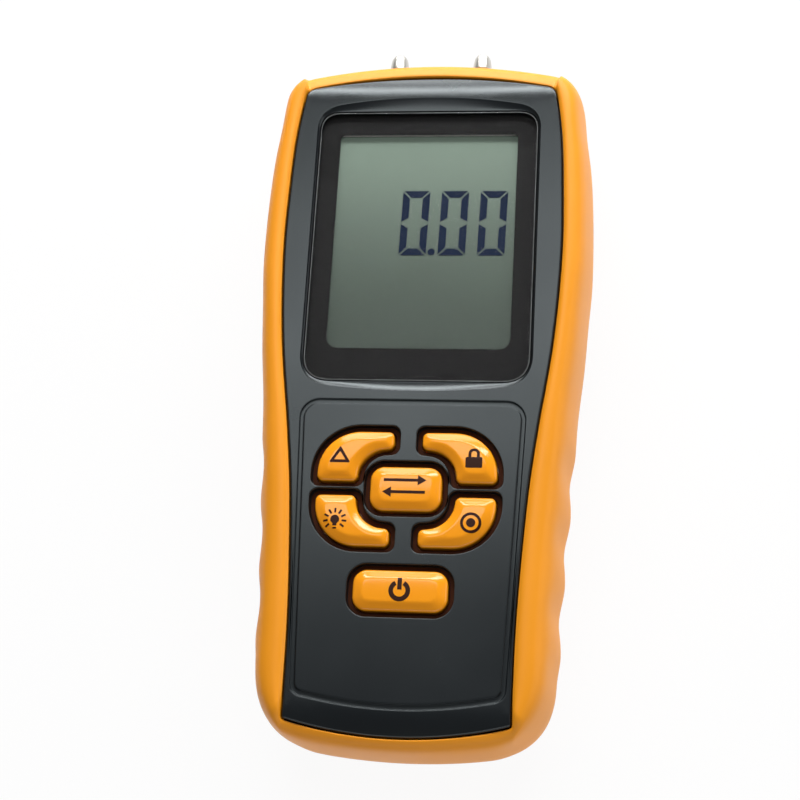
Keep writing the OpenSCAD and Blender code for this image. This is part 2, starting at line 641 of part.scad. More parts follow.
// Corner key in the quadrant right of and above the middle of the cluster
function corner_key(grow) = let (
    x1 = cluster_slit / 2 - grow, x2 = cluster_w / 2 + grow, y2 = cluster_l / 2 + grow,
    y1 = cluster_split / 2 - grow, xi = middle_key_w / 2 + key_pinch - grow,
    yi = middle_key_l / 2 + key_pinch_y - grow, e = key_end_r + grow / 2)
    fillets([[x1, y2, e], [x2, y2, sweep_r + grow], [x2, y1, e], [xi + key_splay, y1, e],
        [xi, yi, inner_r - grow], [x1, yi + key_splay, e]]);
function flipped(ring, sx, sy) = [for (i = [0 : len(ring) - 1])
    let (p = ring[sx * sy > 0 ? i : len(ring) - 1 - i]) [sx * p.x + cluster_x, sy * p.y - cluster_drop]];
function key_outline(k, grow) =
    k == "units" ? box_outline(middle_key_w + 2 * grow, middle_key_l + 2 * grow, key_r + grow, cluster_x, -cluster_drop)
    : k == "power" ? box_outline(power_key_w + 2 * grow, power_key_l + 2 * grow, key_r + grow, cluster_x, -power_drop)
    : flipped(corner_key(grow), k == "hold" || k == "record" ? 1 : -1, k == "difference" || k == "hold" ? 1 : -1);

contact_t = film;
pill_t = 1;
pill_z = board_z + contact_t + key_travel + film;
key_low_z = pill_z + pill_t;
flange_t = 1.2;
flange_w = 0.8;
mat_base_t = 1.2;
mat_z = key_low_z + flange_t - gap;
key_top_z = panel_z + key_rise;
module key(k) color("orange") {
    slab(key_outline(k, flange_w), key_low_z, key_low_z + flange_t);
    lofted([
        raised(key_outline(k, 0), key_low_z + flange_t - film), raised(key_outline(k, 0), key_top_z - edge_round),
        raised(key_outline(k, -edge_round / 4), key_top_z - edge_round / 3),
        raised(key_outline(k, -edge_round), key_top_z)]);
}
module difference_key() key("difference");
module hold_key() key("hold");
module units_key() key("units");
module backlight_key() key("backlight");
module record_key() key("record");
module power_key() key("power");

// Middle of each key, where its contact lies
corner_mid = [cluster_w * 0.34, cluster_l * 0.2824];
pill_d = 4;
function key_mid(k) = k == "units" ? [cluster_x, -cluster_drop] : k == "power" ? [cluster_x, -power_drop]
    : [(k == "hold" || k == "record" ? 1 : -1) * corner_mid.x + cluster_x,
       (k == "difference" || k == "hold" ? 1 : -1) * corner_mid.y - cluster_drop];
module pill(k) color("black") translate([key_mid(k).x, key_mid(k).y, pill_z])
    cylinder(d = pill_d, h = pill_t);
module difference_pill() pill("difference");
module hold_pill() pill("hold");
module units_pill() pill("units");
module backlight_pill() pill("backlight");
module record_pill() pill("record");
module power_pill() pill("power");
module key_contacts() color("gold") for (k = key_names)
    translate([key_mid(k).x, key_mid(k).y, board_z - film / 2]) cylinder(d = pill_d + overrun, h = contact_t);

mat_rim = 0.7;
mat_top_rim = 2.5;
mat_foot_rim = 1.6;
mat_hole = flange_w + run_gap;
mat_w = cluster_w + 2 * (mat_hole + mat_rim);
mat_top_y = cluster_l / 2 - cluster_drop + mat_hole + mat_top_rim;
mat_foot_y = -power_drop - power_key_l / 2 - mat_hole - mat_foot_rim;
mat_foot_w = power_key_w + 2 * (mat_hole + mat_foot_rim);
module keypad_mat() color("orange") difference() {
    translate([cluster_x, 0, 0]) slab(fillets([
        [-mat_w / 2, mat_top_y, key_r], [mat_w / 2, mat_top_y, key_r], [mat_w / 2, -cluster_drop - mat_w / 3, key_r],
        [mat_foot_w / 2, mat_foot_y, key_r], [-mat_foot_w / 2, mat_foot_y, key_r],
        [-mat_w / 2, -cluster_drop - mat_w / 3, key_r]]), board_z, mat_z);
    for (k = key_names) slab(key_outline(k, mat_hole), board_z - overrun, mat_z + overrun);
}

// Pressure side: sensor on the back of the board, two tubes, two ports with seal and nut
sensor_w = 18;
sensor_l = 15;
sensor_y = 36;
nozzle_pitch = 12;
nozzle_d = 3;
nozzle_l = 6;
sensor_below = 4.4;
sensor_z1 = port_z - sensor_below;
tube_d = 4.6;
flange_d = 7.6;
port_flange_t = 1.5;
neck_l = 0.8;
land_l = 1.6;
valley_l = 1.4;
neck_d = 3.6;
tip_d = 2.4;
tip_r_share = 0.5;
nut_w = 8;
nut_t = 2;
seal_t = 0.8;
nut_y = body_top - pad_root - nut_t - film;
stem_l = 6;
flange_y = pad_y + seal_t - film;
tube_y2 = nut_y - overrun;
module pressure_sensor() color("gainsboro") {
    translate([0, 0, sensor_z1]) slab(box_outline(sensor_w, sensor_l, least_round, 0, sensor_y + sensor_l / 2), 0,
        board_z - board_t - sensor_z1 - gap);
    for (s = [-1, 1]) translate([s * nozzle_pitch / 2, sensor_y + sensor_l - overrun, port_z])
        rotate([-90, 0, 0]) cylinder(d = nozzle_d, h = nozzle_l + overrun);
}
module port(s) color("silver") translate([s * port_pitch / 2, 0, port_z]) rotate([-90, 0, 0])
    rotate_extrude() {
        y1 = flange_y + port_flange_t;
        y2 = y1 + neck_l;
        y3 = y2 + land_l;
        y4 = y3 + valley_l;
        y5 = y4 + land_l;
        tip = body_top + port_reach;
        low = tube_y2 - stem_l;
        bore = port_bore_d / 2;
        land = port_land_d / 2;
        polygon([
            [bore, low], [nozzle_d / 2, low], [nozzle_d / 2, tube_y2], [port_thread_d / 2, tube_y2],
            [port_thread_d / 2, flange_y], [flange_d / 2, flange_y], [flange_d / 2, y1],
            [neck_d / 2, y1], [neck_d / 2, y2], [land, y2], [land, y3], [neck_d / 2, y4],
            [land, y4], [land, y5], [tip_d / 2 + tip_r_share, tip - tip_r_share],
            [tip_d / 2, tip], [bore, tip]]);
    }
module port_left() port(-1);
module port_right() port(1);
module port_seals() color("black") for (s = [-1, 1])
    translate([s * port_pitch / 2, pad_y, port_z]) rotate([-90, 0, 0]) difference() {
        cylinder(d = flange_d - 2 * gap, h = seal_t - film);
        translate([0, 0, -overrun]) cylinder(d = port_thread_d + 2 * screw_gap, h = seal_t + 2 * overrun);
    }
module port_nuts() color("silver") for (s = [-1, 1])
    translate([s * port_pitch / 2, nut_y, port_z]) rotate([-90, 0, 0]) difference() {
        cylinder(d = nut_w, h = nut_t, $fn = 6);
        translate([0, 0, -overrun]) cylinder(d = port_thread_d + 2 * screw_gap, h = nut_t + 2 * overrun);
    }
// Silicone tube in an S, from a nozzle of the sensor to the stem of a port
tube_grip = 3.5;
tube_sides = 12;
bend_steps = 5;
function tube_ring(x, y, turn, d) = [for (i = [0 : tube_sides - 1]) let (w = (i + 0.5) * 360 / tube_sides)
    [x + cos(turn) * cos(w) * d / 2, y - sin(turn) * cos(w) * d / 2, port_z + sin(w) * d / 2]];
module tube(s) color("ivory") {
    shift = (port_pitch - nozzle_pitch) / 2;
    y1 = sensor_y + sensor_l + nozzle_l - tube_grip;
    y2 = tube_y2 - stem_l + tube_grip;
    run = y2 - y1 - 2 * tube_grip;
    turn = 2 * atan(shift / run);
    r = run / (2 * sin(turn));
    route = concat([[nozzle_pitch / 2, y1, 0]],
        [for (i = [0 : bend_steps]) let (a = turn * i / bend_steps)
            [nozzle_pitch / 2 + r * (1 - cos(a)), y1 + tube_grip + r * sin(a), a]],
        [for (i = [bend_steps - 1 : -1 : 0]) let (a = turn * i / bend_steps)
            [port_pitch / 2 - r * (1 - cos(a)), y2 - tube_grip - r * sin(a), a]],
        [[port_pitch / 2, y2, 0]]);
    bore = (nozzle_d + film) / cos(180 / tube_sides);
    mirror([s < 0 ? 1 : 0, 0, 0]) looped(concat(
        [for (p = route) tube_ring(p.x, p.y, p.z, tube_d)],
        [for (i = [len(route) - 1 : -1 : 0]) tube_ring(route[i].x, route[i].y, route[i].z, bore)]));
}
module tube_left() tube(-1);
module tube_right() tube(1);

// Battery, with its clip and leads
battery_r = 2;
post_d = 5.6;
post_l = 3;
post_pitch = 12.8;
snap_t = 15;
module battery() color("goldenrod")
    translate([0, battery_y2, battery_z + battery_t / 2]) rotate([90, 0, 0]) linear_extrude(battery_l)
        polygon(box_outline(battery_w, battery_t, battery_r));
module battery_terminals() color("silver") {
    for (s = [-1, 1]) translate([s * post_pitch / 2, battery_y2, battery_z + battery_t / 2])
        rotate([-90, 0, 0]) cylinder(d = s < 0 ? post_d : post_d + 3 * edge_round, h = post_l, $fn = s < 0 ? 48 : 6);
}
module battery_snap() color("black")
    translate([0, battery_y2, battery_z + battery_t / 2]) rotate([-90, 0, 0]) difference() {
        translate([0, 0, gap]) linear_extrude(snap_l - gap)
            polygon(box_outline(battery_w - 2 * gap, snap_t, battery_r));
        for (s = [-1, 1]) translate([s * post_pitch / 2, 0, -overrun])
            cylinder(d = post_d + 3 * edge_round + 2 * run_gap, h = post_l + run_gap + overrun);
    }
// Points of a lead from the clip up to the board, and the sweep of a round wire along them
lead_d = 1.6;
lead_sides = 8;
lead_route = [[8.5, -14.6, 12], [8.5, -12.6, 12], [8.4, -11, 12.2], [8, -9.6, 13], [7.6, -8.8, 14.4],
    [7.4, -8.4, 16], [7.3, -8.2, 18], [7.3, -8.2, 20], [7.3, -8.2, 22.4]];
function tangent(p, i) = unit(p[min(i + 1, len(p) - 1)] - p[max(i - 1, 0)]);
function wire_ring(p, i) = let (t = tangent(p, i), u = [1, 0, 0], v = cross(t, u))
    [for (a = [0 : lead_sides - 1]) let (w = (a + 0.5) * 360 / lead_sides)
        p[i] + (u * cos(w) + unit(v) * sin(w)) * lead_d / 2];
module lead(s) {
    low = battery_y2 + snap_l - lead_route[0].y;
    p = [for (q = lead_route) [s * q.x, q.y + low, q.z]];
    lofted([for (i = [0 : len(p) - 1]) wire_ring(p, i)]);
}
module battery_lead_red() color("red") lead(1);
module battery_lead_black() color("black") lead(-1);
module battery_pad() color("dimgray")
    translate([-battery_w / 4, battery_y1 + battery_l / 4, door_z + door_t])
        cube([battery_w / 2, battery_l / 2, battery_z - door_z - door_t - film / 2]);

// Battery door: two tongues at its lower end, one screw at its upper end
door_z = 0.3;
door_t = 1.7;
door_w = bay_w + 4;
door_edge = 0.5;
door_y1 = bay_y1 - door_edge;
door_r = 2.5;
tongue_x = 9;
tongue_w = 6;
tongue_l = 2.1;
tongue_t = 1.2;
tongue_root = 1.6;
tongue_room = 3.4;
door_boss_d = 7;
door_boss_z = 3.9;
insert_z = 4.4;
insert_l = 3;
insert_d = 4.6;
door_boss_l = insert_l + insert_z - door_boss_z + bay_wall;
door_screw_d = 2.5;
door_screw_play = 0.4;
door_head_d = 5;
door_head_t = 1.2;
door_cup_t = 1.2;
door_cup_d = door_head_d + 2 * door_cup_t;
door_screw_y = bay_y2 + bay_wall + run_gap + door_cup_d / 2;
door_end = 4.8;
door_y2 = door_screw_y + door_end;
door_rib_w = 1.2;
door_rib_pitch = 3;
door_rib_l = 16;
function door_outline(grow) = box_outline(door_w + 2 * grow, door_y2 - door_y1 + 2 * grow, door_r + grow, 0,
    (door_y1 + door_y2) / 2);
module battery_door() color("dimgray") difference() {
    union() {
        slab(door_outline(0), door_z, door_z + door_t);
        for (s = [-1, 1]) translate([s * tongue_x - tongue_w / 2, door_y1, 0]) {
            translate([0, 0, door_z + door_t - film])
                cube([tongue_w, tongue_root, floor_t + gap + tongue_t - door_z - door_t + film]);
            translate([0, -tongue_l, floor_t + gap]) cube([tongue_w, tongue_l + tongue_root, tongue_t]);
        }
        translate([0, door_screw_y, door_z + door_t - film])
            cylinder(d = door_cup_d, h = door_cup_t + film);
    }
    translate([0, door_screw_y, 0]) {
        translate([0, 0, -overrun]) cylinder(d = door_head_d + 2 * run_gap, h = overrun + door_z + door_t);
        cylinder(d = door_screw_d + 2 * screw_gap, h = battery_z + overrun);
    }
    for (i = [0 : 4]) translate([-door_rib_l / 2, door_screw_y - 2 * door_head_d - i * door_rib_pitch, 0])
        cube([door_rib_l, door_rib_w, door_z + door_t / 4]);
}
module door_screw() color("silver") translate([0, door_screw_y, door_z + door_t])
    screw(door_screw_d, insert_z + insert_l - door_z - door_t - gap, door_head_d, door_head_t);
module door_insert() color("goldenrod") translate([0, door_screw_y, insert_z]) difference() {
    cylinder(d = insert_d, h = insert_l - film);
    translate([0, 0, -overrun]) cylinder(d = door_screw_d + 2 * door_screw_play, h = insert_l + 2 * overrun);
}

case_head_t = 1.8;
case_screw_l = 14.5;
module case_screws() color("silver") at(case_places) translate([0, 0, counterbore_z])
    screw(case_screw_d, case_screw_l, case_head_d, case_head_t);

front_cover();
rear_cover();
rubber_boot();
display_window();
window_mask();
lcd_glass();
lcd_digits();
lcd_frame();
backlight_panel();
contact_strips();
main_board();
board_chips();
board_capacitors();
board_screws();
key_contacts();
keypad_mat();
difference_key();
hold_key();
units_key();
backlight_key();
record_key();
power_key();
difference_pill();
hold_pill();
units_pill();
backlight_pill();
record_pill();
power_pill();
pressure_sensor();
port_left();
port_right();
port_seals();
port_nuts();
tube_left();
tube_right();
battery();
battery_terminals();
battery_snap();
battery_lead_red();
battery_lead_black();
battery_pad();
battery_door();
door_screw();
door_insert();
case_screws();
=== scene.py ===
"""Looks of a handheld digital manometer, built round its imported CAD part.

The boot, the front panel, the window with its border, the keys with their signs and the hose ports are
surfaces worked out with numpy from the same named sizes as the part. Every other node is the part's own solid
with a finish. Lengths inside the functions are in millimetres, and meshes are written in metres.
"""

import math
from types import SimpleNamespace

import bmesh
import bpy
import numpy as np
from bpy.props import FloatProperty, FloatVectorProperty, PointerProperty
from mathutils import Matrix, Vector
from mathutils.geometry import delaunay_2d_cdt


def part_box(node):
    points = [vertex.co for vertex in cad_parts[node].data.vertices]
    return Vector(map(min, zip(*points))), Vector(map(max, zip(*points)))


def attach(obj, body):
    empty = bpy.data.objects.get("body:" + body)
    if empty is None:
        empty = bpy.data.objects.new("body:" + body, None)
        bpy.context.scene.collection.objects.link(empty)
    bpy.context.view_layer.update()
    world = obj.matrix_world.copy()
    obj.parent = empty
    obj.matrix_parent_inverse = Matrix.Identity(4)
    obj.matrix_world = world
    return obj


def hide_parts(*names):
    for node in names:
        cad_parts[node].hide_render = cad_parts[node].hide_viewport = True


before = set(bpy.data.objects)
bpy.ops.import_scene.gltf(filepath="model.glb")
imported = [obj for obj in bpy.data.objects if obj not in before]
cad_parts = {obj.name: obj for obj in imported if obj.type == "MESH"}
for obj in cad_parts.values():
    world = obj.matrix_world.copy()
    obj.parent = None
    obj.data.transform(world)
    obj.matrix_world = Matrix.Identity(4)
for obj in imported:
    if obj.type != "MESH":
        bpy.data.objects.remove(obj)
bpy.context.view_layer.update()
MM = 0.001

bl_info = {
    "name": "Manometer looks",
    "version": (1, 0, 0),
    "blender": (4, 5, 0),
    "location": "3D View > Sidebar > Manometer",
    "description": "Builds the surfaces and finishes of a handheld manometer on its CAD frame",
    "category": "Object",
}

# Half-width of the body against Y, as shares of the widest and of half the panel's length
BODY_SHARES = (
    (1.08, 0.870), (0.955, 0.927), (0.858, 0.948), (0.756, 0.976), (0.657, 0.991), (0.524, 1),
    (0.394, 1), (0.271, 0.983), (0.129, 0.965), (-0.026, 0.935), (-0.148, 0.924), (-0.335, 0.905),
    (-0.542, 0.882), (-0.748, 0.870), (-0.903, 0.877), (-1.06, 0.859),
)
PANEL_SHARES = (
    (1, 0.900), (0.86, 0.953), (0.76, 0.978), (0.6, 0.994), (0.45, 1), (0.27, 0.982),
    (0.12, 0.951), (0, 0.913), (-0.1, 0.878), (-0.28, 0.826), (-0.46, 0.793), (-0.62, 0.772),
    (-0.75, 0.763), (-1, 0.760),
)
# Front of a side rail and of an end strip: share of the way out, and share of the fall
RAIL_SHARES = (
    (0, 0.057), (0.08, 0.018), (0.2, 0), (0.38, 0.011), (0.5, 0.036), (0.62, 0.086), (0.75, 0.207),
    (0.86, 0.421), (0.95, 0.707), (1, 1),
)
STRIP_SHARES = (
    (0, 0.035), (0.03, 0.008), (0.07, 0), (0.16, 0.006), (0.34, 0.03), (0.5, 0.064), (0.64, 0.12), (0.76, 0.21),
    (0.87, 0.39), (0.95, 0.67), (1, 1),
)
GRIP_SHARES = ((0, 0), (0.5, 0), (0.62, 0.1), (0.75, 0.35), (0.86, 0.7), (0.95, 1), (1, 1))
# Back of the boot and the wall inside it: share of the rim's inset, share of the thickness
BACK_SHARES = (
    (0.02, 0.435), (0.08, 0.304), (0.187, 0.188), (0.347, 0.093), (0.533, 0.032), (0.707, 0.007),
    (0.853, 0), (1, 0),
)
WALL_SHARES = ((0, 0.565), (0.02, 0.435), (0.08, 0.304), (0.187, 0.188), (0.347, 0.093))
# Keypad groove and the recess round a key: share of the way across, and share of the depth
GROOVE_SHARES = (
    (-0.25, 0), (-0.06, 0), (0, 0.03), (0.04, 0.14), (0.09, 0.5), (0.14, 0.86), (0.18, 0.97), (0.24, 1), (0.76, 1),
    (0.82, 0.97), (0.86, 0.86), (0.91, 0.5), (0.96, 0.14), (1, 0.03), (1.06, 0), (1.3, 0),
)
DISH_SHARES = (
    (1.14, 0), (1.04, 0), (1, 0.01), (0.97, 0.04), (0.945, 0.1), (0.925, 0.25), (0.91, 0.55), (0.9, 0.99),
    (0.88, 1), (0.26, 1),
)
# Rows of the band round the window, as shares of the way in, and of a key's edge, as distances from its outline
SCOOP_ROWS = (0, 0.04, 0.1, 0.18, 0.3, 0.44, 0.6, 0.76, 0.9, 1)
KEY_ROWS = (0, 0.015, 0.05, 0.11, 0.2, 0.32, 0.47, 0.65, 0.85)

KEYS = ("difference", "hold", "units", "backlight", "record", "power")
SIGN_PLACES = {
    "difference": (-15.4, -16.5), "hold": (14.3, -16.8), "units": (-0.7, -23.3), "backlight": (-15.6, -31.3),
    "record": (14.2, -31.2), "power": (-0.5, -46.3),
}

# Points along an arc and along a side of a half outline, and along an end and a side of a ring made from it
ARC_COUNT, LINE_COUNT = 81, 701
END_COUNT, SIDE_COUNT = 56, 240
# Distance between the points of the nets in a key's top and in a sign
KEY_NET, SIGN_NET = 0.27, 0.4
# Part of a key's shoulder over which it levels out
LEVEL_SHARE = 0.32

# Sizes out of sight. The front cover: depths below the flat front, and its clearance in the boot
COVER_PLATE, COVER_SHOULDER, COVER_STEP, COVER_DEPTH, COVER_FIT = 2.4, 4.2, 6, 10.1, 0.15
# Depths between which the boot's inner wall leans in under the rails, and the thickness of its rim on the back
LEAN_TOP, LEAN_FOOT, RIM_THICKNESS = 4, 12, 2
# Seat under the window: gap, thickness, and how far its pocket and its opening go past the window and the display
SEAT_GAP, SEAT_PLATE, POCKET_GROW, OPENING_GROW = 0.2, 1.4, 2, 0.9
# A key's whole height, and the width and thickness of its flange
KEY_HEIGHT, KEY_FLANGE, FLANGE_THICKNESS = 8.3, 0.8, 1.2
# Middle lines of the ports below the flat front, clearance round their pad, and the number of finger grips
PORT_DEPTH, PAD_CLEARANCE, GRIP_COUNT = 17, 0.3, 3.5
# A port's stem and thread: radii and the stem's length. Its flange: thickness, and how far it sits in the boot
STEM_RADIUS, THREAD_RADIUS, STEM_LENGTH, PORT_FLANGE, PORT_SINK = 1.5, 2.5, 6, 1.5, 0.6
# Ends of a port's neck, first land, taper, valley and second land, from the face of its flange
PORT_STEPS = (0.8, 2.4, 3.8, 3.95, 5.1)
# Flat trims under and round the window: the print, a near-black ring as painted shade in the seam, and a pale ring
# as a painted glint of the polished edge. How far their outlines go past the window's, and their heights
BEZEL_GROW, BEZEL_THICKNESS = -0.05, 0.15
SEAM_SHADE_GROW, SEAM_SHADE_INNER_GROW, SEAM_SHADE_SINK = 0.27, 0.03, 0.12
EDGE_GROW, EDGE_INNER_GROW, EDGE_LOW, EDGE_HIGH = -0.03, -0.17, 1.2, 1.4


def linear(red, green, blue):
    """Linear colour of 0 to 255 picture values."""
    return tuple(((c / 255 + 0.055) / 1.055) ** 2.4 if c > 10 else c / 255 / 12.92 for c in (red, green, blue))


def length(name, description, millimetres):
    """A length property, given in millimetres and kept in metres."""
    return FloatProperty(name=name, description=description, default=millimetres * MM, unit="LENGTH",
                         subtype="DISTANCE", precision=5)


def share(name, description, value):
    """A share from 0 to 1."""
    return FloatProperty(name=name, description=description, default=value, min=0, max=1, subtype="FACTOR")


def colour(name, description, red, green, blue):
    """A colour property, given as the 0 to 255 values that a picture shows and kept linear."""
    return FloatVectorProperty(name=name, description=description, default=linear(red, green, blue), size=3, min=0,
                               max=1, subtype="COLOR")


class ManometerBody(bpy.types.PropertyGroup):
    body_width: length("Body width", "Widest distance across the side rails", 77.4)
    body_thickness: length("Body thickness", "From the resting back to the crest of the rails", 34.5)
    panel_length: length("Panel length", "Length of the dark front panel", 155.7)
    panel_width: length("Panel width", "Widest width of the dark front panel", 64.6)
    lip_top: length("Top lip", "Boot beyond the top end of the panel", 5.1)
    lip_bottom: length("Bottom lip", "Boot beyond the bottom end of the panel", 3.2)
    end_crown: length("End crown", "How far each end of the panel bows outwards", 3.3)
    boot_crown: length("Boot crown", "How far each end of the boot bows outwards", 4.2)
    top_corner: length("Top corner", "Corner size of the body at the ports", 4.1)
    bottom_corner: length("Bottom corner", "Corner size of the body at the bottom", 13.8)
    panel_corner: length("Panel corner", "Upper corner of the panel", 2.2)
    panel_foot_corner: length("Panel foot corner", "Lower corner of the panel", 0.7)
    rail_rise: length("Rail rise", "Crest of the rails above the panel", 0.9)
    end_sink: length("End sink", "Crest of the end strips below the panel", 1.15)
    rail_fall: length("Rail fall", "Height of the rounded front of a rail", 14)
    back_rim: length("Back rim", "Width of the boot's rim on the back", 7.5)
    boot_wall: length("Boot wall", "Wall of the boot", 2.2)
    shell_wall: length("Shell wall", "Wall of the hard shells", 2)
    grip_depth: length("Grip depth", "Depth of the finger grips", 0.8)
    grip_pitch: length("Grip pitch", "Distance between finger grips", 15.4)
    grip_start: length("Grip start", "Where the grips start, below the middle of the panel", 10.1)
    seam: length("Seam", "Dark gap between the panel and the boot", 0.25)
    panel_edge: length("Panel edge", "Rounded edge of the panel", 0.45)
    end_roll: length("End roll", "How far the ends of the panel roll down", 1.7)
    end_roll_length: length("End roll length", "Length over which an end of the panel rolls down", 6.5)


class ManometerDisplay(bpy.types.PropertyGroup):
    window_width: length("Window width", "Width of the clear window", 51.2)
    window_low: length("Window bottom", "Bottom edge of the window", 1.5)
    window_high: length("Window top", "Top edge of the window", 68.15)
    window_sink: length("Window sink", "Window surface below the panel", 0.6)
    window_thickness: length("Window thickness", "Thickness of the clear window", 1.5)
    window_corner: length("Window corner", "Upper corners of the window", 4.6)
    window_foot_corner: length("Window foot corner", "Lower corners of the window", 6.2)
    window_seam: length("Window seam", "Dark gap round the window", 0.34)
    window_chamfer: length("Window chamfer", "Polished edge of the window", 0.22)
    scoop_side: length("Scoop side", "Dished band beside the window", 0.75)
    scoop_rise: length("Scoop rise", "Arc of the dished band above the window", 3.0)
    scoop_fall: length("Scoop fall", "Arc of the dished band below the window", 1.9)
    view_width: length("View width", "Visible width of the display", 41.9)
    view_low: length("View bottom", "Bottom edge of the visible display", 9.6)
    view_high: length("View top", "Top edge of the visible display", 63.0)
    view_corner: length("View corner", "Upper corners of the visible display", 1.1)
    view_foot_corner: length("View foot corner", "Lower corners of the visible display", 2.6)


class ManometerKeypad(bpy.types.PropertyGroup):
    keypad_x: length("Keypad offset", "Middle of the keypad beside the middle of the panel", -0.5)
    middle_width: length("Middle key width", "Width of the middle key", 15.7)
    middle_length: length("Middle key length", "Length of the middle key", 9.9)
    cluster_drop: length("Cluster drop", "Middle of the key cluster below the middle of the panel", 23.7)
    power_width: length("Power key width", "Width of the power key", 20.6)
    power_length: length("Power key length", "Length of the power key", 8.9)
    power_drop: length("Power key drop", "Middle of the power key below the middle of the panel", 46.4)
    cluster_width: length("Cluster width", "Outer width over the corner keys", 39.8)
    cluster_length: length("Cluster length", "Outer length over the corner keys", 26)
    key_corner: length("Key corner", "Corner size of the straight keys", 3)
    key_end: length("Key end", "Small corners of the corner keys", 1.3)
    slit: length("Slit", "Distance between the left and right corner keys", 6.4)
    split: length("Split", "Distance between the upper and lower corner keys", 3.2)
    sweep: length("Sweep", "Outer corner of the corner keys", 9.5)
    inner_sweep: length("Inner sweep", "Inner corner of the corner keys", 6.4)
    pinch: length("Pinch", "Distance from the middle key sideways", 2.55)
    pinch_along: length("Pinch along", "Distance from the middle key lengthwise", 3.5)
    splay: length("Splay", "How far the legs of the inner corner open outwards", 0.7)
    key_rise: length("Key rise", "Key tops above the panel", 0.8)
    key_round: length("Key shoulder", "Width of the sloping shoulder of a key's top", 1.95)
    key_crown: length("Key crown", "Fall of the shoulder of a key's top", 0.95)
    key_edge: length("Key edge", "Rounded edge of a key", 0.5)
    key_dome: length("Key dome", "Radius of the slight lengthwise dome of a key's top", 60)
    key_gap: length("Key gap", "Gap round a key", 0.3)
    dish: length("Dish", "Width of the dished recess round a key", 1.45)
    dish_depth: length("Dish depth", "Depth of the dished recess", 2.0)
    groove_top: length("Groove top", "Top of the keypad groove below the middle of the panel", 3.2)
    groove_foot: length("Groove foot", "Foot corners of the groove below the middle of the panel", 69.35)
    groove_width: length("Groove width", "Width of the keypad groove", 1.2)
    groove_depth: length("Groove depth", "Depth of the keypad groove", 0.35)
    groove_corner: length("Groove corner", "Upper corner of the keypad groove", 4.5)
    groove_foot_corner: length("Groove foot corner", "Lower corner of the keypad groove", 3)
    groove_top_share: share("Groove top share", "Half-width of the groove at its top", 0.79)
    groove_foot_share: share("Groove foot share", "Half-width of the groove at its foot", 0.715)
    print_height: length("Print height", "Thickness of the printed signs", 0.04)
    print_line: length("Print line", "Line width of the printed signs", 0.5)


class ManometerPorts(bpy.types.PropertyGroup):
    pitch: length("Port pitch", "Distance between the hose ports", 20.6)
    land: length("Land diameter", "Diameter of the lands that hold a hose", 4.6)
    neck: length("Neck diameter", "Diameter between the lands", 3.6)
    bore: length("Bore", "Bore of a port", 2)
    flange: length("Flange diameter", "Diameter of the flange", 7.6)
    reach: length("Reach", "Tip of a port beyond the boot", 8.9)
    pad_width: length("Pad width", "Width of the flat pad that carries the ports", 33)
    pad_height: length("Pad height", "Height of the flat pad", 10.2)


class ManometerColours(bpy.types.PropertyGroup):
    boot: colour("Boot", "Soft orange boot", 240, 152, 22)
    keys: colour("Keys", "Glossy orange keys", 248, 156, 24)
    panel: colour("Panel", "Slate front panel", 18, 21, 24)
    print: colour("Print", "Signs on the keys", 50, 24, 14)
    bezel: colour("Bezel", "Printed border of the window", 30, 30, 30)
    glass: colour("Display", "Reflector of the display", 130, 148, 134)
    digits: colour("Digits", "Dark segments of the display", 24, 34, 56)
    nickel: colour("Nickel", "Plated ports", 214, 212, 205)


class ManometerStage(bpy.types.PropertyGroup):
    lens: FloatProperty(name="Lens", description="Focal length on a 36 mm sensor", default=77.59, min=10,
                        unit="CAMERA")
    lamp_power: FloatProperty(name="Lamp power", description="Power of the overhead lamp", default=4.0, min=0,
                              unit="POWER")
    world_strength: FloatProperty(name="World strength", description="Light from all round", default=0.16,
                                  min=0)
    floor_size: length("Floor size", "Side of the floor", 3000)


def sizes(group):
    """The lengths of a property group in millimetres, and its other values as they are, by name."""
    found = {}
    for name in type(group).__annotations__:
        value = getattr(group, name)
        is_length = group.bl_rna.properties[name].unit == "LENGTH"
        found[name] = value / MM if is_length else value
    return SimpleNamespace(**found)


def sized(context, *names):
    """What sizes() says of each named property group of the scene."""
    return [sizes(getattr(context.scene, f"manometer_{name}")) for name in names]


# Curves and rings


def share_at(table, s):
    """Value of a table at s: a cubic between neighbouring rows, whose slope at each row is the slope from the
    row before to the row after. Beyond the ends the end value holds."""
    x, v = np.array(sorted(table), float).T
    low, high = np.maximum(np.arange(len(x)) - 1, 0), np.minimum(np.arange(len(x)) + 1, len(x) - 1)
    slope = (v[high] - v[low]) / (x[high] - x[low])
    i = np.clip(np.searchsorted(x, s, side="right") - 1, 0, len(x) - 2)
    h = x[i + 1] - x[i]
    f = np.clip((s - x[i]) / h, 0, 1)
    g = 1 - f
    return (v[i] * g * g * (1 + 2 * f) + v[i + 1] * f * f * (1 + 2 * g)
            + h * f * g * (slope[i] * g - slope[i + 1] * f))


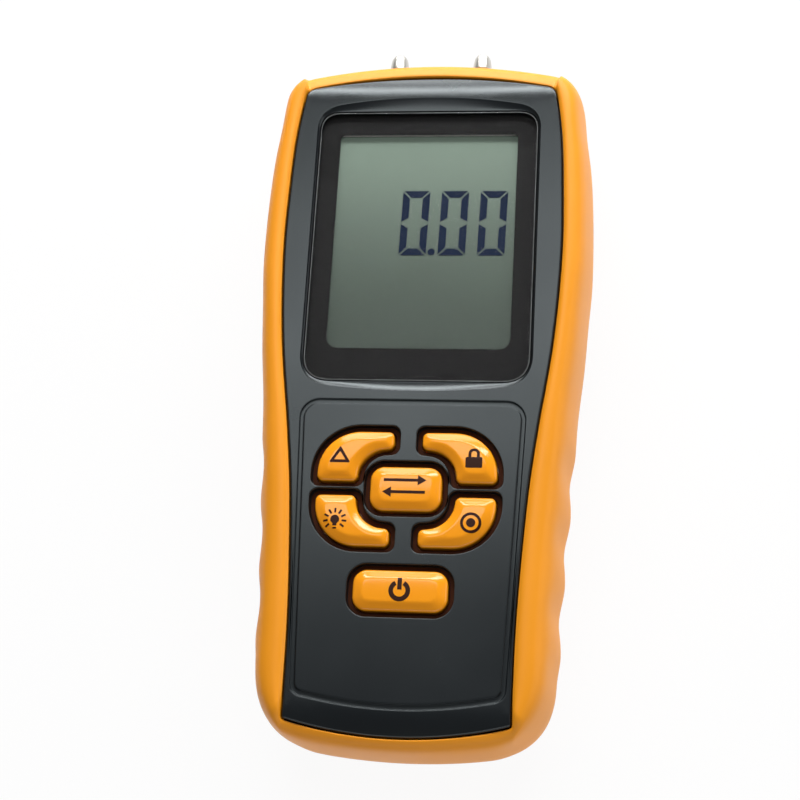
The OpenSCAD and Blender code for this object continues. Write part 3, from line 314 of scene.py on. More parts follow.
def half_line(x_at, top, bottom, r_top, r_bottom, crown_top, crown_bottom):
    """Right half of an outline from its top middle to its bottom middle. Each end is a parabola that falls by
    its crown, each corner a quadratic curve whose legs are its size, and the side follows x_at(y)."""
    y1, y2 = top - crown_top, bottom + crown_bottom
    x1, x2 = float(x_at(y1)), float(x_at(y2))
    f = np.linspace(0, 1, ARC_COUNT)

    def end(x, xe, ye, crown):
        return np.column_stack((x, ye + crown * (1 - (x / xe) ** 2)))

    def corner(a, c, b):
        return (np.outer((1 - f) ** 2, a) + np.outer(2 * f * (1 - f), c) + np.outer(f * f, b))[1:]

    upper = end(np.linspace(0, x1 - r_top, ARC_COUNT), x1, y1, crown_top)
    y = np.linspace(y1 - r_top, y2 + r_bottom, LINE_COUNT)
    side = np.column_stack((x_at(y), y))
    lower = end(np.linspace(x2 - r_bottom, 0, ARC_COUNT), x2, y2, -crown_bottom)
    return np.vstack((upper, corner(upper[-1], (x1, y1), side[0]), side[1:],
                      corner(side[-1], (x2, y2), lower[0]), lower[1:]))


def ring_from(line, top_share, bottom_share, end_count=END_COUNT, side_count=SIDE_COUNT):
    """Closed ring from a half line and its mirror image, clockwise from the top middle. The top end, the side and
    the bottom end part at a share of the half-widths there. Points are even along the ends, and along the side
    they close up towards both corners: t - 0.7 sin(2 pi t) / 2 pi."""
    along = np.concatenate(([0], np.cumsum(np.linalg.norm(np.diff(line, axis=0), axis=1))))
    x, side_start = line[:, 0], 2 * ARC_COUNT - 1
    first = np.argmax(x >= top_share * x[side_start])
    last = len(x) - 1 - np.argmax(x[::-1] >= bottom_share * x[-side_start])
    t = np.linspace(0, 1, side_count, endpoint=False)
    t = t - 0.7 * np.sin(2 * math.pi * t) / (2 * math.pi)
    s = np.concatenate((np.linspace(0, along[first], end_count, endpoint=False),
                        along[first] + (along[last] - along[first]) * t,
                        np.linspace(along[last], along[-1], end_count + 1)))
    right = np.column_stack((np.interp(s, along, x), np.interp(s, along, line[:, 1])))
    right[0, 0] = right[-1, 0] = 0
    return np.vstack((right, right[-2:0:-1] * (-1, 1)))


def body_ring(b, inset=0.0):
    """Outline of the boot, moved inwards by inset."""
    half, least = b.panel_length / 2, 1.2
    line = half_line(lambda y: b.body_width / 2 * share_at(BODY_SHARES, np.asarray(y) / half) - inset,
                     half + b.lip_top - inset, -half - b.lip_bottom + inset, max(b.top_corner - inset, least),
                     max(b.bottom_corner - inset, least), b.boot_crown, b.boot_crown)
    return ring_from(line, top_share=0.865, bottom_share=0.735)


def panel_ring(b, inset=0.0):
    """Outline of the front panel, moved inwards by inset."""
    half, least, foot_least = b.panel_length / 2, 0.5, 0.4
    line = half_line(lambda y: b.panel_width / 2 * share_at(PANEL_SHARES, np.asarray(y) / half) - inset,
                     half - inset, -half + inset, max(b.panel_corner - inset, least),
                     max(b.panel_foot_corner - inset, foot_least), b.end_crown, b.end_crown)
    return ring_from(line, top_share=0.985, bottom_share=0.985)


def inward(ring, d):
    """A clockwise ring moved inwards by d along the normals of its chords."""
    along = np.roll(ring, -1, axis=0) - np.roll(ring, 1, axis=0)
    return ring + np.column_stack((along[:, 1], -along[:, 0])) * d / np.linalg.norm(along, axis=1)[:, None]


def raised(ring, z):
    """A flat ring at height z, which is a number or one height for each point."""
    return np.column_stack((ring, np.broadcast_to(z, len(ring))))


def laid_on(height, ring, lift=0.0):
    """A flat ring laid on the surface height(x, y), and lifted off it by lift."""
    return raised(ring, height(*ring.T) + lift)


def level(z):
    """Function of x and y: the same height all over."""
    return lambda x, y: np.full(len(x), z)


def fillets(corners, steps=12):
    """Clockwise outline with rounded corners from rows of x, y, radius. The arc in a corner is the turn from one
    tangent point to the other about a centre on the corner's bisector."""
    rows = np.array(corners, float)
    p, r = rows[:, :2], rows[:, 2]
    u, v = np.roll(p, 1, axis=0) - p, np.roll(p, -1, axis=0) - p
    u /= np.linalg.norm(u, axis=1)[:, None]
    v /= np.linalg.norm(v, axis=1)[:, None]
    half = np.arccos(np.clip((u * v).sum(1), -1, 1)) / 2
    middle = (u + v) / np.linalg.norm(u + v, axis=1)[:, None]
    centre = p + middle * (r / np.sin(half))[:, None]
    reach = (r / np.tan(half))[:, None]
    a, b, turn = p + u * reach - centre, p + v * reach - centre, math.pi - 2 * half
    f = np.linspace(0, 1, steps + 1)[:, None]
    ahead = np.sin(np.outer(turn, 1 - f)) / np.sin(turn)[:, None]
    behind = np.sin(np.outer(turn, f)) / np.sin(turn)[:, None]
    arc = centre[:, None] + a[:, None] * ahead[..., None] + b[:, None] * behind[..., None]
    return arc.reshape(-1, 2)


def box_ring(width, long, radius, x=0.0, y=0.0, steps=12):
    """Rounded rectangle about x, y."""
    w, h = width / 2, long / 2
    return fillets([(x - w, y + h, radius), (x + w, y + h, radius), (x + w, y - h, radius),
                    (x - w, y - h, radius)], steps)


def polar(radius, t):
    """Points at a distance from the origin, each at an angle of t."""
    return radius * np.column_stack((np.cos(t), np.sin(t)))


# Meshes from rings


def strip(rings, closed=False):
    """Grid of faces through rings with the same number of points. A closed strip joins its last ring to its first.
    Faces look outwards where clockwise rings climb from the first to the last."""
    grid = np.array(rings)
    m, n = grid.shape[:2]
    j, i = np.meshgrid(np.arange(m if closed else m - 1), np.arange(n), indexing="ij")
    k, q = (i + 1) % n, (j + 1) % m
    faces = np.stack((j * n + i, q * n + i, q * n + k, j * n + k), axis=-1).reshape(-1, 4)
    return grid.reshape(-1, 3), faces.tolist()


def inside(points, loops):
    """True where a point lies inside an odd number of the loops, by counting the sides that it has to its right."""
    hit = np.zeros(len(points), bool)
    x, y = points[:, :1], points[:, 1:2]
    for loop in loops:
        a, b = loop[:, :2], np.roll(loop[:, :2], -1, axis=0)
        crosses = (a[:, 1] > y) != (b[:, 1] > y)
        rise = np.where(a[:, 1] == b[:, 1], 1, b[:, 1] - a[:, 1])
        hit ^= (crosses & (x < a[:, 0] + (y - a[:, 1]) * (b[:, 0] - a[:, 0]) / rise)).sum(1) % 2 == 1
    return hit


def distance_to(points, loops):
    """Distance from each point to the nearest point of the loops' sides."""
    nearest = np.full(len(points), np.inf)
    for loop in loops:
        a = loop[:, :2]
        d = np.roll(a, -1, axis=0) - a
        size = np.maximum((d * d).sum(1), 1e-12)
        f = np.clip(((points[:, None] - a) * d).sum(2) / size, 0, 1)
        nearest = np.minimum(nearest, np.linalg.norm(points[:, None] - a - f[..., None] * d, axis=2).min(1))
    return nearest


def sheet_between(loops, height, spacing=2.0, up=True):
    """Sheet that fills the area inside an odd number of loops. A net of points at the given spacing lets it follow
    height(x, y); the loops keep their own heights."""
    flat = np.vstack([loop[:, :2] for loop in loops])
    edges, start = [], 0
    for loop in loops:
        i = np.arange(len(loop))
        edges.append(np.column_stack((start + i, start + (i + 1) % len(loop))))
        start += len(loop)
    low, high = flat.min(0), flat.max(0)
    gx, gy = np.meshgrid(np.arange(low[0], high[0], spacing), np.arange(low[1], high[1], spacing * 0.866))
    gx = gx + (np.arange(len(gx)) % 2 * spacing / 2)[:, None]
    net = np.column_stack((gx.ravel(), gy.ravel()))
    net = net[inside(net, loops)]
    net = net[distance_to(net, loops) > spacing * 0.45] if len(net) else net
    points = np.vstack((flat, net))
    made = delaunay_2d_cdt([Vector(p) for p in points.tolist()], np.vstack(edges).tolist(), [], 0, 1e-7)
    xy = np.array([tuple(p) for p in made[0]])
    z = height(xy[:, 0], xy[:, 1])
    given = np.concatenate([loop[:, 2] for loop in loops])
    for k, sources in enumerate(made[3]):
        first = [s for s in sources if s < len(given)]
        if first:
            z[k] = given[first[0]]
    tris = np.array(made[2])
    tris = tris[inside(xy[tris].mean(1), loops)]
    a, b, c = xy[tris[:, 0]], xy[tris[:, 1]], xy[tris[:, 2]]
    turn = (b[:, 0] - a[:, 0]) * (c[:, 1] - a[:, 1]) - (b[:, 1] - a[:, 1]) * (c[:, 0] - a[:, 0])
    tris = tris[np.abs(turn) > 1e-9]
    turn = turn[np.abs(turn) > 1e-9]
    wrong = (turn > 0) != up
    tris[wrong] = tris[wrong][:, ::-1]
    return np.column_stack((xy, z)), tris.tolist()


def joined_mesh(name, parts):
    """Mesh in metres from parts of vertices in millimetres and faces, joined where their edges meet, with its faces
    turned outwards."""
    verts, faces, start = [], [], 0
    for part_verts, part_faces in parts:
        verts.append(np.asarray(part_verts, float))
        faces += [[start + i for i in face] for face in part_faces]
        start += len(part_verts)
    mesh = bpy.data.meshes.new(name)
    mesh.from_pydata((np.vstack(verts) * MM).tolist(), [], faces)
    work = bmesh.new()
    work.from_mesh(mesh)
    bmesh.ops.remove_doubles(work, verts=work.verts, dist=2e-6)
    bmesh.ops.dissolve_degenerate(work, edges=work.edges, dist=1e-7)
    bmesh.ops.recalc_face_normals(work, faces=work.faces)
    work.to_mesh(mesh)
    work.free()
    return mesh


def add_piece(name, parts, material, body, stands_for=(), sharp=32.0):
    """One object from parts, smooth but for edges sharper than the given angle, riding on a body."""
    mesh = joined_mesh(name, parts)
    mesh.polygons.foreach_set("use_smooth", np.ones(len(mesh.polygons), bool))
    mesh.set_sharp_from_angle(angle=math.radians(sharp))
    mesh.materials.append(material)
    piece = bpy.data.objects.new(name, mesh)
    bpy.context.scene.collection.objects.link(piece)
    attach(piece, body)
    if stands_for:
        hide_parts(*stands_for)
    return piece


def plate(loops, z_low, z_high, spacing):
    """Closed flat plate between two heights, with the outline and holes of the loops."""
    low, high = ([raised(loop, z) for loop in loops] for z in (z_low, z_high))
    return [sheet_between(low, level(z_low), spacing, up=False), sheet_between(high, level(z_high), spacing),
            *(strip([a, b]) for a, b in zip(low, high))]


def spun(profile, x, z, count=72):
    """Closed turned solid about a line along Y through x, z, from a closed profile of radius and y."""
    t = -2 * math.pi * np.arange(count) / count
    p = np.array(profile, float)
    rings = [np.column_stack((x + r * np.cos(t), np.full(count, y), z + r * np.sin(t))) for r, y in p]
    return strip(rings, closed=True)


def rounded_profile(points, steps=6):
    """Closed profile with its corners rounded, from rows of radius, y, rounding: a quadratic curve in each corner."""
    p = np.array(points, float)
    q, prev, following = p[:, :2], np.roll(p[:, :2], 1, axis=0), np.roll(p[:, :2], -1, axis=0)
    u = (prev - q) / np.linalg.norm(prev - q, axis=1)[:, None]
    v = (following - q) / np.linalg.norm(following - q, axis=1)[:, None]
    a, b = q + u * p[:, 2:], q + v * p[:, 2:]
    f = np.linspace(0, 1, steps)[:, None]
    arcs = a[:, None] * (1 - f) ** 2 + q[:, None] * 2 * f * (1 - f) + b[:, None] * f * f
    return np.vstack([arc if size > 0 else arc[:1] for arc, size in zip(arcs, p[:, 2])])


# Heights that everything follows


def panel_height(b):
    """Height of the panel's flat front."""
    return b.body_thickness - b.rail_rise


def port_height(b):
    """Height of the hose ports' middle lines."""
    return panel_height(b) - PORT_DEPTH


def top_end(b):
    """Y of the boot's end at the ports."""
    return b.panel_length / 2 + b.lip_top


def front_height(b):
    """Function of x and y: the flat front, rolled down at both ends by the square of the way into the roll."""
    def height(x, y):
        into = np.maximum(np.abs(y) - b.panel_length / 2 + b.end_roll_length, 0) / b.end_roll_length
        return panel_height(b) - b.end_roll * into ** 2 + 0 * x
    return height


def grip_wave(b, y):
    """Depth of the finger grips at y: a cosine wave for each of three and a half, and level after them."""
    s = np.clip((-b.grip_start - y) / b.grip_pitch, 0, GRIP_COUNT)
    return b.grip_depth * (1 - np.cos(2 * math.pi * s)) / 2


def gripped(b, ring, amount):
    """A ring whose sides are drawn in by a share of the finger grips, fading out towards the middle."""
    fade = np.clip(8 * np.abs(ring[:, 0]) / b.panel_width - 2, 0, 1)
    return ring - np.column_stack((np.sign(ring[:, 0]) * grip_wave(b, ring[:, 1]) * amount * fade, 0 * fade))


def shell_ring(b, depth):
    """Wall line of the shells inside the boot, at a depth below the panel: the boot's inner wall low down, and
    just over half-way from panel to body under the front of the rails."""
    f, out = min(max((LEAN_FOOT - depth) / (LEAN_FOOT - LEAN_TOP), 0), 1), 0.55
    high = panel_ring(b) * (1 - out) + body_ring(b) * out
    return body_ring(b, b.boot_wall) * (1 - f) + high * f


def rail_weight():
    """1 along the sides and 0 along the ends of a ring, one value for each point: a short step at the top corners
    and a long one at the foot corners."""
    i = np.arange(2 * END_COUNT + SIDE_COUNT + 1)
    top_step, foot_step = 2, 30
    ramp = np.clip(np.minimum((i - END_COUNT + 1.5) / top_step, (END_COUNT + SIDE_COUNT + 8 - i) / foot_step), 0, 1)
    weight = ramp * ramp * (3 - 2 * ramp)
    return np.concatenate((weight, weight[-2:0:-1]))


def boot_surface(b):
    """Closed wrap as a loop of rings: the front from the panel's edge out over the rails and end strips, the side
    with its finger grips, the rim on the back, and the inner wall back up to the front."""
    top = panel_height(b)
    rail = rail_weight()
    u = np.concatenate(([0, 0.02, 0.045, 0.075], np.linspace(0.11, 0.8, 20), np.linspace(0.825, 1, 11)))
    inner, outer = panel_ring(b), body_ring(b)
    rows = []
    for s in u:
        ring = gripped(b, inner * (1 - s) + outer * s, share_at(GRIP_SHARES, s))
        crest = rail * b.rail_rise - (1 - rail) * b.end_sink
        fall = rail * share_at(RAIL_SHARES, s) + (1 - rail) * share_at(STRIP_SHARES, s)
        rows.append(raised(ring, top + crest * (1 - s ** 3) - fall * b.rail_fall))
    for s in np.concatenate((np.linspace(0.02, 0.2, 6), np.linspace(0.27, 0.853, 9), [1])):
        rows.append(raised(gripped(b, body_ring(b, s * b.back_rim), 1 - s),
                           share_at(BACK_SHARES, s) * b.body_thickness))
    wall = [(s * b.back_rim + b.boot_wall, z * b.body_thickness) for s, z in WALL_SHARES[::-1]]
    rows += [raised(body_ring(b, inset), RIM_THICKNESS) for inset in (b.back_rim, wall[0][0] + b.boot_wall)]
    rows += [raised(body_ring(b, inset), z) for inset, z in wall]
    rows += [raised(shell_ring(b, depth), top - depth) for depth in (LEAN_FOOT, LEAN_TOP)]
    return strip(rows + [raised(inner, top - LEAN_TOP)], closed=True)


def window_ring(d, grow, rise=0.0, fall=0.0):
    """Outline of the window, grown by grow, with its top end bowed up by rise and its bottom end down by fall."""
    half, r, foot = d.window_width / 2 + grow, d.window_corner + grow, d.window_foot_corner + grow
    line = half_line(lambda y: half + 0 * np.asarray(y), d.window_high + grow + rise, d.window_low - grow - fall,
                     r, foot, rise, fall)
    return ring_from(line, 1 - d.window_corner / half, 1 - d.window_foot_corner / half, end_count=24, side_count=150)


def view_ring(d, grow=0.0):
    """Outline of the visible display, with larger corners at its foot."""
    w, r, foot = d.view_width / 2 + grow, d.view_corner + grow, d.view_foot_corner + grow
    high, low = d.view_high + grow, d.view_low - grow
    return fillets([(-w, high, r), (w, high, r), (w, low, foot), (-w, low, foot)], steps=8)


def groove_ring(b, k, inset):
    """Outline of the keypad groove, moved inwards: straight sides that close in, rounded corners and a bowed foot."""
    top, foot, w = -k.groove_top, -k.groove_foot, b.panel_width
    top_x, foot_x = k.groove_top_share * w / 2 - inset, k.groove_foot_share * w / 2 - inset
    corner, foot_corner, foot_bow, foot_radius = k.groove_corner - inset, k.groove_foot_corner - inset, 0.065, 1.45
    return fillets([
        (-top_x, top - inset, corner), (top_x, top - inset, corner), (foot_x, foot + inset, foot_corner),
        (0, foot - foot_bow * w + inset, foot_radius * w), (-foot_x, foot + inset, foot_corner)], steps=20)


def key_ring(k, key, grow):
    """Outline of a key, grown by grow. A corner key is one bent shape, mirrored into its quadrant."""
    if key == "units":
        return box_ring(k.middle_width + 2 * grow, k.middle_length + 2 * grow, k.key_corner + grow, k.keypad_x,
                        -k.cluster_drop)
    if key == "power":
        return box_ring(k.power_width + 2 * grow, k.power_length + 2 * grow, k.key_corner + grow, k.keypad_x,
                        -k.power_drop)
    x1, x2, y2 = k.slit / 2 - grow, k.cluster_width / 2 + grow, k.cluster_length / 2 + grow
    y1, xi = k.split / 2 - grow, k.middle_width / 2 + k.pinch - grow
    yi, e = k.middle_length / 2 + k.pinch_along - grow, k.key_end + grow / 2
    ring = fillets([(x1, y2, e), (x2, y2, k.sweep + grow), (x2, y1, e), (xi + k.splay, y1, e),
                    (xi, yi, k.inner_sweep - grow), (x1, yi + k.splay, e)], steps=16)
    sx, sy = (1 if key in ("hold", "record") else -1), (1 if key in ("difference", "hold") else -1)
    ring = ring * (sx, sy) + (k.keypad_x, -k.cluster_drop)
    return ring if sx * sy > 0 else ring[::-1]


def panel_surface(b, d, k):
    """Closed front cover: a rim that rolls over the edge, a dished band round the window with the seat under it, a
    groove round the keypad, a dished recess down to the opening of each key, and flat sheets between them."""
    top, height = panel_height(b), front_height(b)
    low, shoulder, foot = top - COVER_PLATE, top - COVER_SHOULDER, top - COVER_DEPTH
    seat = top - d.window_sink - d.window_thickness - SEAT_GAP
    deep = seat - SEAT_PLATE

    def on_front(ring, depth=0.0):
        return laid_on(height, ring, -depth)

    inset, skirt = panel_ring(b, COVER_PLATE), shell_ring(b, COVER_DEPTH)
    inner = inward(skirt, b.shell_wall + COVER_FIT)
    rim = [raised(inset, low), raised(inset, top - COVER_STEP), raised(inner, top - COVER_STEP - 0.2),
           raised(inner, foot), raised(inward(skirt, COVER_FIT), foot),
           raised(inward(shell_ring(b, COVER_SHOULDER - 0.05), COVER_FIT), shoulder),
           raised(panel_ring(b, b.seam), shoulder)]
    rim += [on_front(panel_ring(b, b.seam + b.panel_edge * (1 - math.cos(t))), b.panel_edge * (1 - math.sin(t)))
            for t in np.radians(range(0, 91, 15))]
    rim += [on_front(panel_ring(b, b.seam + b.panel_edge + more)) for more in (0.1, 0.3)]

    guard, near, outer = (window_ring(d, d.scoop_side + more, d.scoop_rise, d.scoop_fall) for more in (0.4, 0.12, 0))
    edge = window_ring(d, d.window_seam)
    band = [on_front(guard), on_front(near)]
    for f in SCOOP_ROWS:
        ring = outer * (1 - f) + edge * f
        sink = 1 - (1 - f) ** 1.5 if f > 0.04 else f * 0.75
        band.append(raised(ring, on_front(ring)[:, 2] * (1 - sink) + (top - d.window_sink) * sink))
    band += [raised(window_ring(d, d.window_seam - 0.05), top - d.window_sink - 0.08), raised(edge, seat)]

    groove = [on_front(groove_ring(b, k, f * k.groove_width), sunk * k.groove_depth) for f, sunk in GROOVE_SHARES]
    wells = []
    for key in KEYS:
        well = [on_front(key_ring(k, key, f * k.dish), sunk * k.dish_depth) for f, sunk in DISH_SHARES]
        opening = key_ring(k, key, k.key_gap)
        wells.append(well + [raised(opening, top - k.dish_depth - 0.05), raised(opening, low)])

    hole, pocket = view_ring(d, OPENING_GROW), window_ring(d, POCKET_GROW)
    return [strip(rows) for rows in (rim, band, groove, *wells)] + [
        sheet_between([rim[-1], band[0], groove[0]], height),
        sheet_between([groove[-1]] + [well[0] for well in wells], height),
        sheet_between([band[-1], raised(hole, seat)], level(seat), spacing=6),
        strip([raised(hole, deep), raised(hole, seat)]),
        sheet_between([rim[0], *(well[-1] for well in wells), raised(pocket, low)], level(low), spacing=8, up=False),
        strip([raised(pocket, low), raised(pocket, deep)]),
        sheet_between([raised(pocket, deep), raised(hole, deep)], level(deep), spacing=8, up=False)]


def soft_distance(points, ring):
    """Smooth stand-in for the distance to a ring: the inverse cube root of the sum along the ring of one over the
    fourth power of the distance, scaled so that it is exact beside a straight side."""
    a = ring[:, :2]
    d = np.roll(a, -1, axis=0) - a
    size = np.linalg.norm(d, axis=1)
    along = d / size[:, None]
    to = points[:, None] - a
    t = (to * along).sum(2)
    h = np.maximum(np.abs(to[..., 0] * along[:, 1] - to[..., 1] * along[:, 0]), 0.002)
    reach = [(u / (2 * h * h * (h * h + u * u)) + np.arctan(u / h) / (2 * h ** 3)) for u in (size - t, -t)]
    return np.maximum((reach[0] - reach[1]).sum(1) * 2 / math.pi, 1e-9) ** (-1 / 3)


def key_top(b, k, key):
    """Height of a key's top at x, y, from the soft distance to its outline: a shoulder of even slope that levels
    out along a smooth step, at the edge a cube that rounds it over, and over all a slight dome in y."""
    ring, top = key_ring(k, key, 0), panel_height(b) + k.key_rise
    middle = (ring[:, 1].max() + ring[:, 1].min()) / 2

    def height(x, y):
        points = np.column_stack((x, y))
        d = np.where(distance_to(points, [ring]) < 0.01, 0, soft_distance(points, ring))
        span = k.key_round * LEVEL_SHARE
        start = k.key_round - span / 2
        t = np.clip((d - start) / span, 0, 1)
        shoulder = np.maximum(start - d, 0) + span * (0.5 - t + t ** 3 - t ** 4 / 2)
        return (top - (y - middle) ** 2 / (2 * k.key_dome) - k.key_crown * shoulder / k.key_round
                - k.key_edge / 2 * (1 - np.minimum(d / k.key_edge, 1)) ** 3)
    return height


def key_surface(b, k, key):
    """Closed key: a flange, a straight wall, and a pillow-shaped top."""
    height, ring, flange = key_top(b, k, key), key_ring(k, key, 0), key_ring(k, key, KEY_FLANGE)
    low = panel_height(b) + k.key_rise - KEY_HEIGHT
    ledge = low + FLANGE_THICKNESS
    rows = [raised(flange, low), raised(flange, ledge), raised(ring, ledge),
            *(laid_on(height, inward(ring, way)) for way in KEY_ROWS)]
    return [strip(rows), sheet_between([rows[-1]], height, KEY_NET),
            sheet_between([rows[0]], level(low), spacing=6, up=False)]


def sign_surface(b, k, key):
    """Closed thin print that follows the top of a key."""
    height, sink, lift = key_top(b, k, key), 0.1, k.print_height
    loops = [finer(loop) + SIGN_PLACES[key] for loop in sign_loops(key, k.print_line)]
    low, high = ([laid_on(height, loop, z) for loop in loops] for z in (-sink, lift))
    return [sheet_between(low, lambda x, y: height(x, y) - sink, SIGN_NET, up=False),
            sheet_between(high, lambda x, y: height(x, y) + lift, SIGN_NET),
            *(strip([p, q]) for p, q in zip(low, high))]


def window_surface(b, d):
    """Closed window pane with a polished chamfer."""
    top, c = panel_height(b) - d.window_sink, d.window_chamfer
    low = top - d.window_thickness + 0.04
    rows = [raised(window_ring(d, -inset), z) for inset, z in (
        (0, low), (0, top - c), (0.25 * c, top - 0.3 * c), (c, top), (c + 0.2, top))]
    return [strip(rows), sheet_between([rows[-1]], level(top), spacing=12),
            sheet_between([rows[0]], level(low), spacing=12, up=False)]


def port_surface(b, p, side, low):
    """Turned hose port from y = low: stem, thread, flange, two lands with a valley and a bullet-shaped tip, round a
    bore."""
    land, neck, bore, stem_end = p.land / 2, p.neck / 2, p.bore / 2, low + STEM_LENGTH
    flange, tip = top_end(b) - PORT_SINK, top_end(b) + p.reach
    face = flange + PORT_FLANGE
    neck_end, land_end, taper_end, valley_end, last_end = (face + step for step in PORT_STEPS)
    profile = rounded_profile([
        (bore, low, 0), (STEM_RADIUS, low, 0.1), (STEM_RADIUS, stem_end, 0), (THREAD_RADIUS, stem_end, 0.15),
        (THREAD_RADIUS, flange, 0), (p.flange / 2, flange, 0.25), (p.flange / 2, face, 0.3), (neck, face, 0.25),
        (neck, neck_end, 0), (land, neck_end, 0.12), (land, land_end, 0.5), (neck, taper_end, 0.1),
        (land, valley_end, 0.12), (land - 0.03, last_end, 0.6), (1.95, tip - 0.9, 0.6), (1.35, tip, 0.35),
        (bore, tip, 0.12)])
    return spun(profile, side * p.pitch / 2, port_height(b))


def port_opening(b, p):
    """Closed block that cuts the place of the ports' flat pad out of the boot, with a clearance all round."""
    more = 2 * PAD_CLEARANCE
    ring = box_ring(p.pad_width + more, p.pad_height + more, p.pad_height / 2 + 0.1, steps=16)
    n, inwards, outwards = len(ring), -6, 3
    verts, faces = strip([np.column_stack((ring[:, 0], np.full(n, top_end(b) + way), port_height(b) - ring[:, 1]))
                          for way in (inwards, outwards)])
    return verts, faces + [list(range(n)), list(range(2 * n - 1, n - 1, -1))]


# Signs on the keys


def bar_ring(a, b, line):
    """Straight bar of the given width from one point to another."""
    along = (b - a) / np.linalg.norm(b - a)
    across = np.array((along[1], -along[0])) * line / 2
    return np.array((a - across, b - across, b + across, a + across))


def finer(ring, longest=0.3):
    """A ring with points added so that no side is longer than the given length."""
    sides = zip(ring, np.roll(ring, -1, axis=0))
    return np.vstack([np.linspace(p, q, math.ceil(np.linalg.norm(q - p) / longest + 1e-6), endpoint=False)
                      for p, q in sides if np.linalg.norm(q - p) > 1e-6])


def sign_loops(name, line):
    """Outlines of a generic sign about its middle, in millimetres. Loops inside a loop are holes."""
    if name == "difference":
        return [fillets([(0, 2.1, 0.2), (2.4, -1.7, 0.2), (-2.4, -1.7, 0.2)], 4),
                fillets([(0, 0.85, 0.08), (1.3, -1.08, 0.08), (-1.3, -1.08, 0.08)], 3)]
    if name == "hold":
        shackle = fillets([(-1.25, 2.3, 1.15), (1.25, 2.3, 1.15), (1.25, 0.35, 0.05), (-1.25, 0.35, 0.05)], 8)
        hole = fillets([(-0.62, 1.7, 0.55), (0.62, 1.7, 0.55), (0.62, 0.35, 0.02), (-0.62, 0.35, 0.02)], 8)
        return [shackle, hole, box_ring(3.7, 2.4, 0.3, 0, -0.85, 4)]
    if name == "units":
        def arrow(sign, y):
            return np.array([(-4.6, 0.32), (2.9, 0.32), (2.9, 1.15), (4.8, 0), (2.9, -1.15), (2.9, -0.32),
                             (-4.6, -0.32)]) * (sign, 1) + (0, y)
        return [arrow(1, 1.35), arrow(-1, -1.35)]
    if name == "backlight":
        bulb = fillets([(-1.1, 1.15, 1.0), (1.1, 1.15, 1.0), (0.95, -0.25, 0.35), (0.45, -0.75, 0.2),
                        (0.45, -1.25, 0.1), (-0.45, -1.25, 0.1), (-0.45, -0.75, 0.2), (-0.95, -0.25, 0.35)], 6)
        t, middle = np.radians(np.arange(-38, 219, 32)), (0, 0.1)
        rays = [bar_ring(a + middle, b + middle, 0.42) for a, b in zip(polar(1.55, t), polar(2.6, t))]
        return [bulb, box_ring(0.85, 0.34, 0.08, 0, -1.75, 3)] + rays
    if name == "record":
        t = -2 * math.pi * np.arange(48) / 48
        return [polar(radius, t) for radius in (2.3, 1.7, 1)]
    t, radius = np.linspace(0.08, 0.92, 44) * 2 * math.pi + math.pi / 2, 2.35
    arc = np.vstack((polar(radius, t), polar(radius - 2 * line, t[::-1])))
    return [arc - (0, 0.2), bar_ring(np.zeros(2), np.array((0, 2.6)), 1.9 * line)]


# Finishes


def set_inputs(tree, node, inputs):
    """Sets a node's inputs by name or number: linked where the value is another node's output, plain otherwise."""
    for name, value in inputs.items():
        if isinstance(value, bpy.types.NodeSocket):
            tree.links.new(value, node.inputs[name])
        else:
            node.inputs[name].default_value = value


def new_node(tree, kind, inputs=None, **options):
    """A shader node of a kind, with its options and inputs set."""
    node = tree.nodes.new(kind if kind.startswith("NodeGroup") else f"ShaderNode{kind}")
    for name, value in options.items():
        setattr(node, name, value)
    set_inputs(tree, node, inputs or {})
    return node


def new_group(name, inputs, outputs):
    """A shader node group and its two end nodes. Each socket is a row of name, kind and, for some, a value."""
    tree = bpy.data.node_groups.new(name, "ShaderNodeTree")
    for in_out, rows in (("INPUT", inputs), ("OUTPUT", outputs)):
        for socket_name, kind, *value in rows:
            socket = tree.interface.new_socket(socket_name, in_out=in_out, socket_type=f"NodeSocket{kind}")
            if value:
                socket.default_value = value[0]
    return tree, new_node(tree, "NodeGroupInput"), new_node(tree, "NodeGroupOutput")


def grain_group():
    """Fine moulded texture: two noises of different sizes, as a height and a patchy mask."""
    name = "Moulded grain"
    if name in bpy.data.node_groups:
        return bpy.data.node_groups[name]
    tree, start, end = new_group(name, (("Grain per metre", "Float", 3000), ("Patches per metre", "Float", 60)),
                                 (("Height", "Float"), ("Patches", "Float")))
    place = new_node(tree, "TexCoord").outputs["Object"]
    for scale, output, detail, rough in (("Grain per metre", "Height", 3, 0.6),
                                         ("Patches per metre", "Patches", 4, 0.55)):
        noise = new_node(tree, "TexNoise", {"Vector": place, "Scale": start.outputs[scale], "Detail": detail,
                                            "Roughness": rough})
        set_inputs(tree, end, {output: noise.outputs["Fac"]})
    return tree


def drift_group():
    """Slight change of a finish over a surface: from the dark to the light colour and from the low to the high
    roughness, as the patches go from 0.3 to 0.7."""
    name = "Colour drift"
    if name in bpy.data.node_groups:
        return bpy.data.node_groups[name]
    tree, start, end = new_group(name, (
        ("Dark", "Color"), ("Light", "Color"), ("Patches", "Float", 0.5), ("Rough low", "Float", 0.4),
        ("Rough high", "Float", 0.5)), (("Colour", "Color"), ("Roughness", "Float")))
    given = start.outputs
    swing = {"From Min": 0.3, "From Max": 0.7, "Value": given["Patches"]}
    spread = new_node(tree, "MapRange", swing)
    mix = new_node(tree, "Mix", {"Factor": spread.outputs["Result"], 6: given["Dark"], 7: given["Light"]},
                   data_type="RGBA")
    rough = new_node(tree, "MapRange", {**swing, "To Min": given["Rough low"], "To Max": given["Rough high"]})
    set_inputs(tree, end, {"Colour": mix.outputs[2], "Roughness": rough.outputs["Result"]})
    return tree


